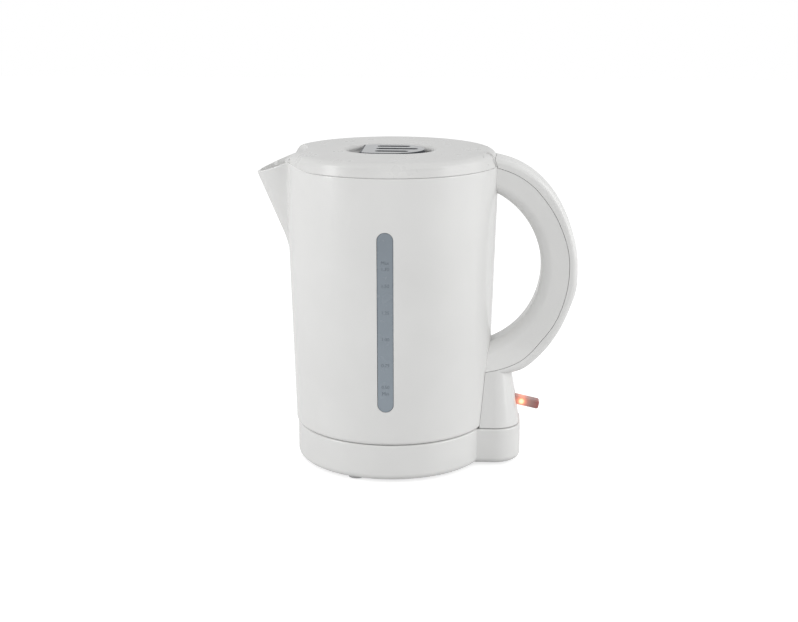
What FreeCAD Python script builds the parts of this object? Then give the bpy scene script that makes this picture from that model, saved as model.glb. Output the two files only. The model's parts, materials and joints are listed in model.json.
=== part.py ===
"""Cordless jug kettle: power base, jug with spout, handle and switch, and a hinged lid with a release slide.

Millimetres, +Z up, spout towards -X and handle towards +X. The pieces are drawn about the jug's axis, and
each one's placement then moves it along X, so that the origin lies on the table under the kettle's middle.
"""
import FreeCAD
import Part
import Sketcher
import math
import os
import re
from FreeCAD import Placement, Rotation, Vector

SIZES = (
    # Feet, base shell and base plate
    ("foot_height", 2.0, "feet below the base plate"),
    ("foot_radius", 5.5, "foot pad"),
    ("foot_sink", 1.0, "foot let into the base plate"),
    ("foot_inset", 10.8, "front feet inside the base's edge"),
    ("foot_angle", 68.0, "front feet from the spout's direction, degrees"),
    ("rear_foot_inset", 12.4, "rear foot inside the lobe's edge"),
    ("base_height", 25.2, "base shell without feet"),
    ("base_setback", 1.0, "base inside the jug's foot"),
    ("base_wall", 3.3, "side wall of the base shell"),
    ("base_roof", 2.5, "top of the base shell"),
    ("base_edge_round", 4.5, "lower outer edge of the base"),
    ("base_top_round", 1.2, "upper outer edge of the base"),
    ("lobe_margin", 1.0, "lobe beyond the switch housing"),
    ("plate_thick", 2.5, "base plate"),
    ("piece_play", 0.3, "gap round pieces that are let in"),
    ("seat_inset", 17.2, "raised seat inside the base's edge"),
    ("seam_gap", 0.4, "gap between base and jug"),
    ("boss_radius", 3.6, "screw bosses"),
    ("boss_inset", 20.2, "screw bosses inside the base's edge"),
    ("screw_radius", 1.4, "screw shanks"),
    ("screw_head_radius", 2.7, "screw heads"),
    ("screw_head_height", 1.6, "screw heads"),
    ("screw_play", 0.12, "gap round screws and fixed pins"),
    ("base_screw_length", 14.0, "base screws under the head"),
    # Connector between base and jug
    ("socket_stand", 6.0, "connector's middle behind the element's boss"),
    ("socket_depth", 10.4, "connector block along X"),
    ("socket_rise", 8.6, "connector above the jug's underside"),
    ("slot_pitch", 9.0, "between connector slots"),
    ("blade_thick", 1.0, "inlet blades"),
    ("blade_width", 5.0, "inlet blades"),
    ("blade_length", 8.2, "inlet blades under their carrier"),
    ("blade_play", 0.5, "gap between blade, slot and contact"),
    ("contact_thick", 0.6, "brass contact strips"),
    ("gland_inset", 24.0, "cord gland inside the lobe's rear"),
    ("gland_rise", 9.5, "cord gland above the base's underside"),
    ("gland_bore", 3.5, "cord gland's bore radius"),
    ("gland_wall", 1.5, "cord gland's wall"),
    ("gland_lip", 1.2, "cord gland's flanges beyond its neck"),
    ("gland_flange_thick", 1.6, "cord gland's flanges"),
    ("gland_tail", 3.2, "cord gland inside the base"),
    # Jug and spout
    ("jug_height", 182.6, "jug from underside to rim"),
    ("jug_foot_radius", 68.2, "jug at its foot"),
    ("jug_flare", 5.4, "jug's rim wider than its foot"),
    ("jug_wall", 2.6, "jug wall"),
    ("jug_floor", 2.6, "jug floor"),
    ("jug_edge_round", 2.5, "lower outer edge of the jug"),
    ("spout_inset", 3.6, "spout cone's axis inside the rim"),
    ("spout_rim_radius", 26.3, "spout cone at the height of the rim"),
    ("spout_depth", 63.2, "spout cone from the rim to its point"),
    ("spout_wall", 2.4, "spout wall"),
    ("lip_drop", 6.2, "pouring lip below the rim"),
    ("lip_inset", 3.6, "where the slope to the lip starts, inside the rim"),
    ("filter_margin", 1.5, "scale filter inside the spout's wall"),
    ("filter_drop", 13.2, "scale filter's top below the rim"),
    ("filter_rise", 19.0, "scale filter's foot above the spout cone's point"),
    ("filter_frame_width", 2.2, "bars of the filter frame"),
    ("filter_thick", 2.4, "filter frame"),
    ("mesh_thick", 0.6, "filter mesh"),
    ("mesh_hole", 1.7, "holes of the filter mesh"),
    ("mesh_bar", 1.0, "bars between the holes of the filter mesh"),
    ("keeper_play", 0.6, "gap above and below the bolt in its slot"),
    # Water gauge
    ("gauge_half_width", 5.5, "water gauge"),
    ("gauge_low", 23.8, "gauge's lower end above the jug's underside"),
    ("gauge_length", 123.5, "water gauge end to end"),
    ("gauge_flange", 3.0, "gauge's flange behind the wall"),
    ("gauge_recess", 0.25, "gauge face below the jug's surface"),
    ("gauge_thick", 1.5, "gauge's flange"),
    # Handle
    ("body_gap", 0.35, "gap between jug and what is fixed to it"),
    ("handle_run", 8.7, "ends of the handle's outer arc behind the rim"),
    ("handle_bulge", 47.0, "outer arc beyond its ends"),
    ("handle_foot_rise", 31.0, "lower end of the outer arc above the jug's underside"),
    ("strip_thick", 7.8, "outer strip, as the difference of its arcs' radii"),
    ("strip_shift", 1.3, "seam's centre behind the outer arc's centre"),
    ("strip_lift", 1.0, "seam's centre above the outer arc's centre"),
    ("grip_thick", 23.8, "grip, as the difference of its arcs' radii"),
    ("grip_shift", 4.9, "inner arc's centre behind the seam's centre"),
    ("grip_lift", 0.3, "inner arc's centre above the seam's centre"),
    ("root_top_drop", 0.7, "grip's upper root below the rim"),
    ("root_low", 38.9, "grip's lower root above the jug's underside"),
    ("bridge_rise", 6.6, "hinge bridge and handle top above the rim"),
    ("handle_half_width", 13.0, "handle"),
    ("foot_spread", 7.5, "handle's foot wider than the handle, each side"),
    ("flare_height", 38.5, "handle starts to widen, above its lower root"),
    ("grip_round", 8.0, "inner edges of the grip"),
    ("strip_round", 4.0, "outer edges of the strip"),
    ("duct_radius", 5.2, "steam duct in the grip"),
    ("duct_depth", 8.3, "steam duct's middle inside the seam"),
    ("tube_play", 1.0, "gap between steam tube and duct"),
    ("tube_wall", 1.2, "steam tube's wall"),
    ("tube_start_angle", -60.0, "lower end of the steam tube, degrees"),
    ("tube_sweep_angle", 109.0, "steam tube, degrees"),
    ("port_radius", 3.4, "steam port in the jug wall"),
    ("port_drop", 14.2, "steam port below the rim"),
    ("lug_radius", 3.4, "jug lugs for the handle's screws"),
    ("lug_stand", 2.1, "lugs beyond the rim's radius"),
    ("upper_lug_drop", 9.2, "upper lugs below the rim"),
    ("upper_lug_half_pitch", 8.0, "upper lugs from the middle plane"),
    ("lower_lug_rise", 9.5, "lower lugs above the grip's lower root"),
    ("lower_lug_half_pitch", 10.0, "lower lugs from the middle plane"),
    ("handle_screw_grip", 6.0, "grip under the handle screws' heads"),
    # Switch housing
    ("tower_half_width", 27.2, "switch housing at its foot"),
    ("tower_stand", 20.4, "rear of the housing behind the element's boss"),
    ("tower_corner", 17.4, "rear corners of the housing at its foot"),
    ("tower_lean", 6.1, "rear of the housing leans forward up to the grip's root"),
    ("tower_top_corner", 12.0, "rear corners of the housing at the grip's root"),
    ("tower_wall", 2.2, "housing wall"),
    # Element and control
    ("head_rise", 19.4, "element head above the jug's underside"),
    ("head_boss", 17.0, "flat boss for the element head"),
    ("head_boss_depth", 5.7, "inner face of the boss inside the jug's foot radius"),
    ("head_boss_stand", 1.8, "outer face of the boss beyond the jug's foot radius"),
    ("head_seat", 3.5, "boss round the hole for the element head"),
    ("gasket_margin", 0.8, "flange and gasket inside the boss's edge"),
    ("head_flange_thick", 2.0, "element head's flange"),
    ("gasket_thick", 1.8, "element head's gasket"),
    ("head_screw_inset", 4.0, "screws inside the element head's edge"),
    ("coil_radius", 3.25, "heating tube"),
    ("coil_drop", 4.0, "heating tube below the middle of its head"),
    ("coil_tail", 9.0, "heating tube's tails from the middle plane"),
    ("coil_inset", 22.2, "heating tube's outer bend inside the jug's foot radius"),
    ("coil_pitch", 16.0, "between the heating tube's outer bend and inner loop"),
    ("coil_bend", 12.0, "bend from tail to loop"),
    ("coil_end_angle", 159.0, "where the tube turns back, degrees"),
    ("disc_thick", 0.7, "bimetal discs"),
    ("boil_dry_radius", 6.0, "boil-dry disc"),
    ("steam_disc_radius", 4.5, "steam disc"),
    ("control_thick", 3.5, "control's back plate"),
    ("control_side", 5.5, "control's back plate beyond its screws"),
    ("control_height", 21.0, "control's back plate"),
    ("carrier_thick", 2.5, "control's floor, which carries the blades"),
    ("carrier_length", 12.0, "control's floor"),
    ("ear_thick", 3.0, "ears for the lever's pin"),
    ("shelf_drop", 3.6, "shelf for the steam disc below the control's top"),
    # Switch lever
    ("pivot_stand", 10.0, "lever's pin behind the element's boss"),
    ("pivot_rise", 16.0, "lever's pin above the jug's underside"),
    ("pivot_pin", 1.5, "lever's pin"),
    ("running_play", 0.05, "running fits"),
    ("lever_tilt_angle", 12.7, "lever's slope when on, degrees"),
    ("lever_length", 25.2, "lever from its pin"),
    ("lever_thick", 5.8, "lever"),
    ("lever_width", 8.0, "lever"),
    ("lever_corner", 1.4, "lever's outer corners"),
    ("lever_play", 0.6, "gap beside the lever"),
    ("lever_slot_under", 6.8, "lever's slot below its pin"),
    ("lever_slot_over", 7.4, "lever's slot above its pin"),
    ("lever_slot_corner", 1.6, "corners of the lever's slot"),
    ("lamp_radius", 2.1, "neon lamp"),
    ("lamp_start", 5.6, "neon lamp from the lever's pin"),
    ("lamp_length", 9.0, "neon lamp"),
    # Lid
    ("lid_gap", 0.5, "gap between rim and lid"),
    ("lid_height", 9.3, "lid from its lower edge to its top"),
    ("lid_round", 7.0, "upper edge of the lid"),
    ("lid_corner", 9.0, "corners of the lid at the spout"),
    ("lid_wall", 2.5, "lid's rim wall"),
    ("lid_roof", 2.5, "lid's top"),
    ("lid_rear_length", 18.0, "lid's solid rear before the hinge pin"),
    ("front_scoop_length", 12.5, "scoop in the lid's front, from its edge inwards"),
    ("front_scoop_half_width", 26.0, "scoop, half its width"),
    ("front_scoop_depth", 6.5, "scoop at the lid's edge"),
    ("recess_x", -1.5, "middle of the oval recess"),
    ("recess_half_flat", 9.5, "recess, half its straight side"),
    ("recess_radius", 21.0, "recess ends"),
    ("recess_depth", 6.0, "recess"),
    ("recess_wall", 1.8, "wall and floor of the recess"),
    ("plug_gap", 2.6, "inner lid inside the jug's wall"),
    ("plug_wall", 2.3, "inner lid's wall"),
    ("plug_floor", 2.2, "inner lid's floor"),
    ("plug_drop", 10.7, "inner lid below the rim"),
    ("plug_setback", 6.5, "front of the inner lid behind the lid's front"),
    ("seal_reach", 1.3, "lid seal beyond the inner lid"),
    ("seal_height", 2.2, "lid seal"),
    ("seal_rise", 7.8, "lid seal above the inner lid's foot"),
    ("lid_screw_x", 30.0, "lid screws along X"),
    ("lid_screw_y", 44.0, "lid screws across"),
    ("lid_screw_length", 9.0, "lid screws under the head"),
    # Hinge
    ("hinge_inset", 6.1, "hinge pin inside the rim"),
    ("hinge_rise", 3.9, "hinge pin above the rim"),
    ("hinge_pin", 1.5, "hinge pin"),
    ("hinge_pin_cover", 4.5, "hinge bridge beyond the pin's ends"),
    ("bridge_radius", 10.2, "hinge bridge about the pin"),
    ("bridge_half_flat", 11.0, "hinge bridge's even middle, half"),
    ("bridge_half_width", 30.5, "hinge bridge"),
    ("bridge_end_radius", 3.7, "hinge bridge at its ends"),
    ("bridge_gap", 0.6, "gap between lid and bridge"),
    ("bridge_sole", 4.9, "slab under the hinge bridge"),
    ("arm_start", 13.6, "lid's hinge arms from the middle plane"),
    ("arm_thick", 5.0, "lid's hinge arms"),
    ("arm_radius", 3.4, "lid's hinge arms about the pin"),
    ("arm_rise", 2.6, "lid's hinge arms above the pin"),
    ("arm_play", 0.5, "gap beside the hinge arms"),
    # Lid release
    ("scoop_length", 11.0, "finger space before the slide"),
    ("latch_drop", 0.6, "slide's top below the lid's top"),
    ("latch_thick", 3.4, "slide's plate"),
    ("latch_side_gap", 0.8, "gap between slide and recess"),
    ("latch_travel", 5.5, "slide's travel"),
    ("latch_end_gap", 0.5, "gap behind the slide at the end of its travel"),
    ("groove_pitch", 11.5, "between the slide's grooves"),
    ("groove_width", 5.0, "slide's grooves"),
    ("groove_depth", 2.2, "slide's grooves"),
    ("groove_start", 10.0, "slide's grooves behind its front edge"),
    ("groove_length", 23.0, "slide's outer grooves"),
    ("groove_extra", 6.0, "slide's middle groove longer than the others"),
    ("leg_lead", 6.5, "slide's leg before the middle of the recess"),
    ("leg_length", 14.0, "slide's leg"),
    ("leg_half_width", 5.0, "slide's leg and bolt"),
    ("bolt_drop", 3.7, "bolt's top below the rim"),
    ("bolt_thick", 3.5, "bolt"),
    ("bolt_gap", 1.0, "gap between the bolt's nose and the jug's wall"),
    ("spring_radius", 2.0, "slide's spring, middle of the wire"),
    ("spring_wire", 0.3, "slide's spring, wire radius"),
    ("spring_turns", 7.0, "slide's spring, number of turns"),
    ("spring_length", 15.0, "slide's spring at rest"),
    ("spring_rise", 2.9, "spring's axis above the bolt"),
)

# Levels and places that follow from the sizes
PLACES = {
    "base_top": "foot_height + base_height",
    "plate_top": "foot_height + plate_thick",
    "roof_under": "base_top - base_roof",
    "jug_bottom": "base_top + seam_gap",
    "floor_top": "jug_bottom + jug_floor",
    "jug_rim": "jug_bottom + jug_height",
    "jug_rim_radius": "jug_foot_radius + jug_flare",
    "mouth_radius": "jug_rim_radius - jug_wall",
    "taper": "jug_flare / jug_height",
    "wall_inside": "jug_foot_radius - jug_wall * 2",
    "spout_axis": "jug_rim_radius - spout_inset",
    "spout_slope": "spout_rim_radius / spout_depth",
    "spout_reach": "spout_axis + spout_slope * (spout_depth - lip_drop)",
    "lip_start": "jug_rim_radius - lip_inset",
    "lip_tilt": "atan(lip_drop / (spout_reach - lip_start))",
    "filter_top": "jug_rim - filter_drop",
    "filter_low": "jug_rim - spout_depth + filter_rise",
    "filter_top_half": "spout_slope * (spout_depth - filter_drop) - spout_wall - filter_margin",
    "filter_low_half": "spout_slope * filter_rise - spout_wall - filter_margin",
    "head_boss_in": "jug_foot_radius - head_boss_depth",
    "head_boss_out": "jug_foot_radius + head_boss_stand",
    "tower_reach": "head_boss_out + tower_stand",
    "tower_top_reach": "tower_reach - tower_lean",
    "base_radius": "jug_foot_radius - base_setback",
    "lobe_half_width": "tower_half_width + lobe_margin",
    "lobe_reach": "tower_reach + lobe_margin",
    "lobe_corner": "tower_corner + lobe_margin",
    "foot_circle": "base_radius - foot_inset",
    "rear_foot": "lobe_reach - rear_foot_inset",
    "seat_radius": "base_radius - seat_inset",
    "boss_circle": "base_radius - boss_inset",
    "socket_x": "head_boss_out + socket_stand",
    "socket_half_width": "slot_pitch * 1.5",
    "slot_depth": "blade_length + blade_play * 3",
    "contact_rise": "slot_depth - contact_thick * 2",
    "gland_x": "lobe_reach - gland_inset",
    "gland_z": "foot_height + gland_rise",
    "gland_neck": "gland_bore + gland_wall",
    "gland_flange": "gland_neck + gland_lip",
    "handle_end": "jug_rim_radius + handle_run",
    "handle_foot": "jug_bottom + handle_foot_rise",
    "handle_half_span": "(bridge_top - handle_foot) / 2",
    "handle_radius": "(handle_half_span ^ 2 + handle_bulge ^ 2) / (2 * handle_bulge)",
    "handle_reach": "handle_end + handle_bulge",
    "handle_x": "handle_reach - handle_radius",
    "handle_level": "handle_foot + handle_half_span",
    "strip_x": "handle_x + strip_shift",
    "strip_level": "handle_level + strip_lift",
    "strip_radius": "handle_radius - strip_thick",
    "grip_x": "strip_x + grip_shift",
    "grip_level": "strip_level + grip_lift",
    "grip_radius": "strip_radius - grip_thick",
    "grip_top": "jug_rim - root_top_drop",
    "grip_foot": "jug_bottom + root_low",
    "foot_half_width": "handle_half_width + foot_spread",
    "flare_start": "grip_foot + flare_height",
    "tower_top": "grip_foot - piece_play",
    "tower_top_half_width": "foot_half_width + body_gap",
    "duct_arc": "strip_radius - duct_depth",
    "tube_radius": "duct_radius - tube_play",
    "tube_bore": "tube_radius - tube_wall",
    "lug_reach": "jug_rim_radius + lug_stand",
    "bridge_top": "jug_rim + bridge_rise",
    "axis_x": "(spout_reach - handle_reach) / 2",
    "socket_top": "jug_bottom + socket_rise",
    "control_foot": "socket_top + blade_play",
    "control_floor": "control_foot + carrier_thick",
    "control_half_width": "head_screw_half_pitch + control_side",
    "shelf_low": "control_foot + control_height - shelf_drop - disc_thick * 2",
    "head_level": "jug_bottom + head_rise",
    "head_bore": "head_boss - head_seat",
    "head_flange": "head_boss - gasket_margin",
    "head_screw_half_pitch": "head_bore - head_screw_inset",
    "coil_outer": "jug_foot_radius - coil_inset",
    "coil_inner": "coil_outer - coil_pitch",
    "pivot_x": "head_boss_out + pivot_stand",
    "pivot_z": "jug_bottom + pivot_rise",
    "lid_bottom": "jug_rim + lid_gap",
    "lid_top": "lid_bottom + lid_height",
    "lid_under": "lid_top - lid_roof",
    "lid_rear_solid": "hinge_x - lid_rear_length",
    "recess_floor": "lid_top - recess_depth",
    "recess_front": "recess_x - recess_half_flat",
    "recess_rear": "recess_x + recess_half_flat",
    "well_under": "recess_floor - recess_wall",
    "plug_radius": "mouth_radius - plug_gap",
    "plug_front": "lip_start - plug_setback",
    "plug_bottom": "jug_rim - plug_drop",
    "plug_top": "plug_bottom + plug_floor",
    "hinge_x": "jug_rim_radius - hinge_inset",
    "hinge_z": "jug_rim + hinge_rise",
    "hinge_pin_half": "bridge_half_width - hinge_pin_cover",
    "latch_front": "recess_front - recess_radius + scoop_length",
    "latch_tip": "recess_rear + recess_radius - latch_travel - latch_end_gap",
    "latch_top": "lid_top - latch_drop",
    "latch_under": "latch_top - latch_thick",
    "groove_front": "latch_front + groove_start",
    "groove_rear": "groove_front + groove_length",
    "groove_mid_rear": "groove_rear + groove_extra",
    "leg_front": "recess_x - leg_lead",
    "leg_rear": "leg_front + leg_length",
    "bolt_top": "jug_rim - bolt_drop",
    "bolt_under": "bolt_top - bolt_thick",
    "bolt_reach": "mouth_radius - bolt_gap",
    "spring_stop": "leg_rear + spring_length",
}
FAR = 200
NAMES = {alias for alias, size, meaning in SIZES}

doc = FreeCAD.newDocument("kettle")
dims = doc.addObject("Spreadsheet::Sheet", "dims")
for row, (alias, size, meaning) in enumerate(SIZES, 1):
    dims.set("A%d" % row, meaning)
    dims.set("B%d" % row, str(size))
    dims.setAlias("B%d" % row, alias)
doc.recompute()
probe = doc.addObject("App::FeaturePython", "probe")
nodes = []


def tied(text):
    """The expression with each size read from the sheet and each place worked out from sizes."""
    def swap(match):
        word = match[0]
        if word in PLACES:
            return "(" + tied(PLACES[word]) + ")"
        return "dims." + word if word in NAMES else word
    return re.sub(r"[a-z_]\w*", swap, str(text))


def value(text):
    """The expression's present number."""
    return float(probe.evalExpression(tied(text)))


def bind(thing, **sizes):
    for prop, text in sizes.items():
        thing.setExpression(prop, tied(text))


def put(thing, x="0", y="0", z="0"):
    for letter, text in zip("xyz", (x, y, z)):
        thing.setExpression("Placement.Base." + letter, tied(text))
    return thing


TURNS = {
    "x": Rotation(Vector(0, 1, 0), 90),
    "y": Rotation(Vector(1, 0, 0), -90),
    "z": Rotation(),
}


def rod(name, radius, low, high, x="0", y="0", z="0", along="z"):
    """A cylinder along one axis from low to high; the coordinate along that axis is the low end."""
    thing = doc.addObject("Part::Cylinder", name)
    thing.Placement = Placement(Vector(), TURNS[along])
    bind(thing, Radius=radius, Height="(%s) - (%s)" % (high, low))
    place = {"x": x, "y": y, "z": z}
    place[along] = low
    return put(thing, **place)


def cone(name, low_radius, high_radius, low, high, x="0", y="0", z="0", along="z"):
    thing = doc.addObject("Part::Cone", name)
    thing.Placement = Placement(Vector(), TURNS[along])
    bind(thing, Radius1=low_radius, Radius2=high_radius, Height="(%s) - (%s)" % (high, low))
    place = {"x": x, "y": y, "z": z}
    place[along] = low
    return put(thing, **place)


def block(name, x, y, z):
    """A box between (low, high) pairs along X, Y and Z."""
    thing = doc.addObject("Part::Box", name)
    spans = ["(%s) - (%s)" % (high, low) for low, high in (x, y, z)]
    bind(thing, Length=spans[0], Width=spans[1], Height=spans[2])
    return put(thing, x[0], y[0], z[0])


def across(half):
    """The pair of places from -half to half."""
    return ("-(%s)" % half, half)


def fuse(name, *pieces):
    thing = doc.addObject("Part::MultiFuse", name)
    thing.Shapes = list(pieces)
    return thing


def cut(name, base, *tools):
    thing = doc.addObject("Part::Cut", name)
    thing.Base = base
    thing.Tool = tools[0] if len(tools) == 1 else fuse(name + "_tools", *tools)
    return thing


def common(name, first, second):
    thing = doc.addObject("Part::Common", name)
    thing.Base = first
    thing.Tool = second
    return thing


def group(name, *pieces):
    thing = doc.addObject("Part::Compound", name)
    thing.Links = list(pieces)
    return thing


def node(name, thing):
    """Keeps a finished sub-part and moves it from the jug's axis to the kettle's own origin."""
    thing.Label = name
    thing.setExpression("Placement.Base.x", tied("axis_x"))
    nodes.append(thing)


def origin_plane(body, role):
    return next(part for part in body.Origin.OriginFeatures if part.Role == role)


def arc_between(start, end, radius, turn):
    """The arc from start to end that turns left or right; 'long' takes the way round over a half turn."""
    chord = end - start
    side = Vector(-chord.y, chord.x, 0).normalize()
    rise = math.sqrt(max(radius ** 2 - (chord.Length / 2) ** 2, 0))
    if ("right" in turn) != ("long" in turn):
        rise = -rise
    centre = (start + end) / 2 + side * rise
    circle = Part.Circle(centre, Vector(0, 0, 1), radius)
    first, last = (end, start) if "right" in turn else (start, end)
    angles = [math.atan2(point.y - centre.y, point.x - centre.x) for point in (first, last)]
    if angles[1] <= angles[0]:
        angles[1] += 2 * math.pi
    return Part.ArcOfCircle(circle, *angles)


def outline(body, name, role, corners, offset="0"):
    """A closed sketch on an origin plane.

    Each corner is (u, v), or (u, v, radius, turn) where the side that leaves it is an arc. A half turn is
    held by its middle, which lies between its ends, and not by its radius.
    """
    sketch = body.newObject("Sketcher::SketchObject", name)
    sketch.AttachmentSupport = (origin_plane(body, role), [""])
    sketch.MapMode = "FlatFace"
    sketch.setExpression("AttachmentOffset.Base.z", tied(offset))
    points = [Vector(value(corner[0]), value(corner[1]), 0) for corner in corners]

    def fix(piece, point, kind, text):
        if text == "0":
            axis = -2 if kind == "DistanceX" else -1
            sketch.addConstraint(Sketcher.Constraint("PointOnObject", piece, point, axis))
            return
        number = sketch.addConstraint(Sketcher.Constraint(kind, -1, 1, piece, point, value(text)))
        sketch.setExpression("Constraints[%d]" % number, tied(text))

    ends = []
    for index, corner in enumerate(corners):
        start, end = points[index], points[(index + 1) % len(points)]
        if len(corner) == 2:
            sketch.addGeometry(Part.LineSegment(start, end), False)
            ends.append((1, 2))
        else:
            sketch.addGeometry(arc_between(start, end, value(corner[2]), corner[3]), False)
            ends.append((2, 1) if "right" in corner[3] else (1, 2))
    for index, corner in enumerate(corners):
        after = (index + 1) % len(corners)
        sketch.addConstraint(Sketcher.Constraint("Coincident", index, ends[index][1], after, ends[after][0]))
        fix(index, ends[index][0], "DistanceX", corner[0])
        fix(index, ends[index][0], "DistanceY", corner[1])
        if len(corner) == 4 and "half" in corner[3]:
            chord = points[after] - points[index]
            level = abs(chord.x) > abs(chord.y)
            fix(index, 3, "DistanceY" if level else "DistanceX", corner[1] if level else corner[0])
        elif len(corner) == 4:
            number = sketch.addConstraint(Sketcher.Constraint("Radius", index, value(corner[2])))
            sketch.setExpression("Constraints[%d]" % number, tied(corner[2]))
    return sketch


def mirrored_outline(corners):
    """Corners that run from one side to the other, and then their mirror image across the sketch's V axis."""
    back = []
    for index in range(len(corners) - 1, -1, -1):
        side = corners[index - 1][2:] if index else ()
        back.append(("-(%s)" % corners[index][0], corners[index][1]) + tuple(side))
    return list(corners) + back


def padded(name, role, corners, length, offset="0", symmetric=False):
    """A body that pads one outline; upright planes pad towards -Y and +X."""
    body = doc.addObject("PartDesign::Body", name)
    pad = body.newObject("PartDesign::Pad", name + "_pad")
    pad.Profile = outline(body, name + "_outline", role, corners, offset)
    bind(pad, Length=length)
    if symmetric:
        pad.SideType = "Symmetric"
    return body


def turned(name, corners):
    """A body of revolution about the jug's axis; corners are (radius, height)."""
    body = doc.addObject("PartDesign::Body", name)
    sketch = outline(body, name + "_outline", "XZ_Plane", corners)
    turn = body.newObject("PartDesign::Revolution", name + "_turn")
    turn.Profile = sketch
    turn.ReferenceAxis = (sketch, ["V_Axis"])
    turn.Angle = 360
    return body


def lofted(name, low_corners, low, high_corners, high):
    """A body with straight sides between two outlines at two heights."""
    body = doc.addObject("PartDesign::Body", name)
    loft = body.newObject("PartDesign::AdditiveLoft", name + "_loft")
    loft.Profile = outline(body, name + "_low", "XY_Plane", low_corners, low)
    loft.Sections = [outline(body, name + "_high", "XY_Plane", high_corners, high)]
    loft.Ruled = True
    return body


def rounded(body, radius, chosen):
    """Rounds the edges of the body's last feature for which chosen(edge) is true."""
    doc.recompute()
    base = body.Tip
    names = ["Edge%d" % (index + 1) for index, edge in enumerate(base.Shape.Edges) if chosen(edge)]
    fillet = body.newObject("PartDesign::Fillet", body.Name + "_round_" + str(len(body.Group)))
    fillet.Base = (base, names)
    bind(fillet, Radius=radius)
    return body


def flat_at(height):
    """True for edges that lie level at a height."""
    def lies(edge):
        box = edge.BoundBox
        return abs(box.ZMin - height) < 1e-4 and abs(box.ZMax - height) < 1e-4
    return lies


def lobe_outline(shrink):
    """The base seen from above: a circle with a lobe that has rounded rear corners."""
    side = "(lobe_half_width - (%s))" % shrink
    reach = "(lobe_reach - (%s))" % shrink
    corner = "(lobe_corner - (%s))" % shrink
    radius = "(base_radius - (%s))" % shrink
    root = "sqrt(%s ^ 2 - %s ^ 2)" % (radius, side)
    return [
        (root, "-" + side),
        (reach + " - " + corner, "-" + side, corner, "left"),
        (reach, corner + " - " + side),
        (reach, side + " - " + corner, corner, "left"),
        (reach + " - " + corner, side),
        (root, side, radius, "left long"),
    ]


def tower_outline(half, reach, corner):
    """The switch housing seen from above, with its front inside the jug."""
    front = "wall_inside - tower_half_width / 2"
    return [
        (front, "-(%s)" % half),
        ("%s - (%s)" % (reach, corner), "-(%s)" % half, corner, "left"),
        (reach, "%s - (%s)" % (corner, half)),
        (reach, "%s - (%s)" % (half, corner), corner, "left"),
        ("%s - (%s)" % (reach, corner), half),
        (front, half),
    ]


def wall_x(height, side):
    """Distance along X of the jug's outer surface at a height and a distance from the middle plane."""
    radius = "(jug_foot_radius + taper * (%s - jug_bottom))" % height
    return "sqrt(%s ^ 2 - (%s) ^ 2)" % (radius, side)


def jug_cone(name, grow):
    """The jug's outer cone, grown or shrunk."""
    return cone(name, "jug_foot_radius + (%s)" % grow, "jug_rim_radius + (%s)" % grow, "jug_bottom", "jug_rim")


def jug_clearance(name):
    """The space that the jug and its rim need, which pieces fixed to the jug stay out of."""
    return fuse(
        name,
        jug_cone(name + "_cone", "body_gap"),
        rod(name + "_rim", "jug_rim_radius + body_gap", "jug_rim", "jug_rim + %d" % FAR),
    )


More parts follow.
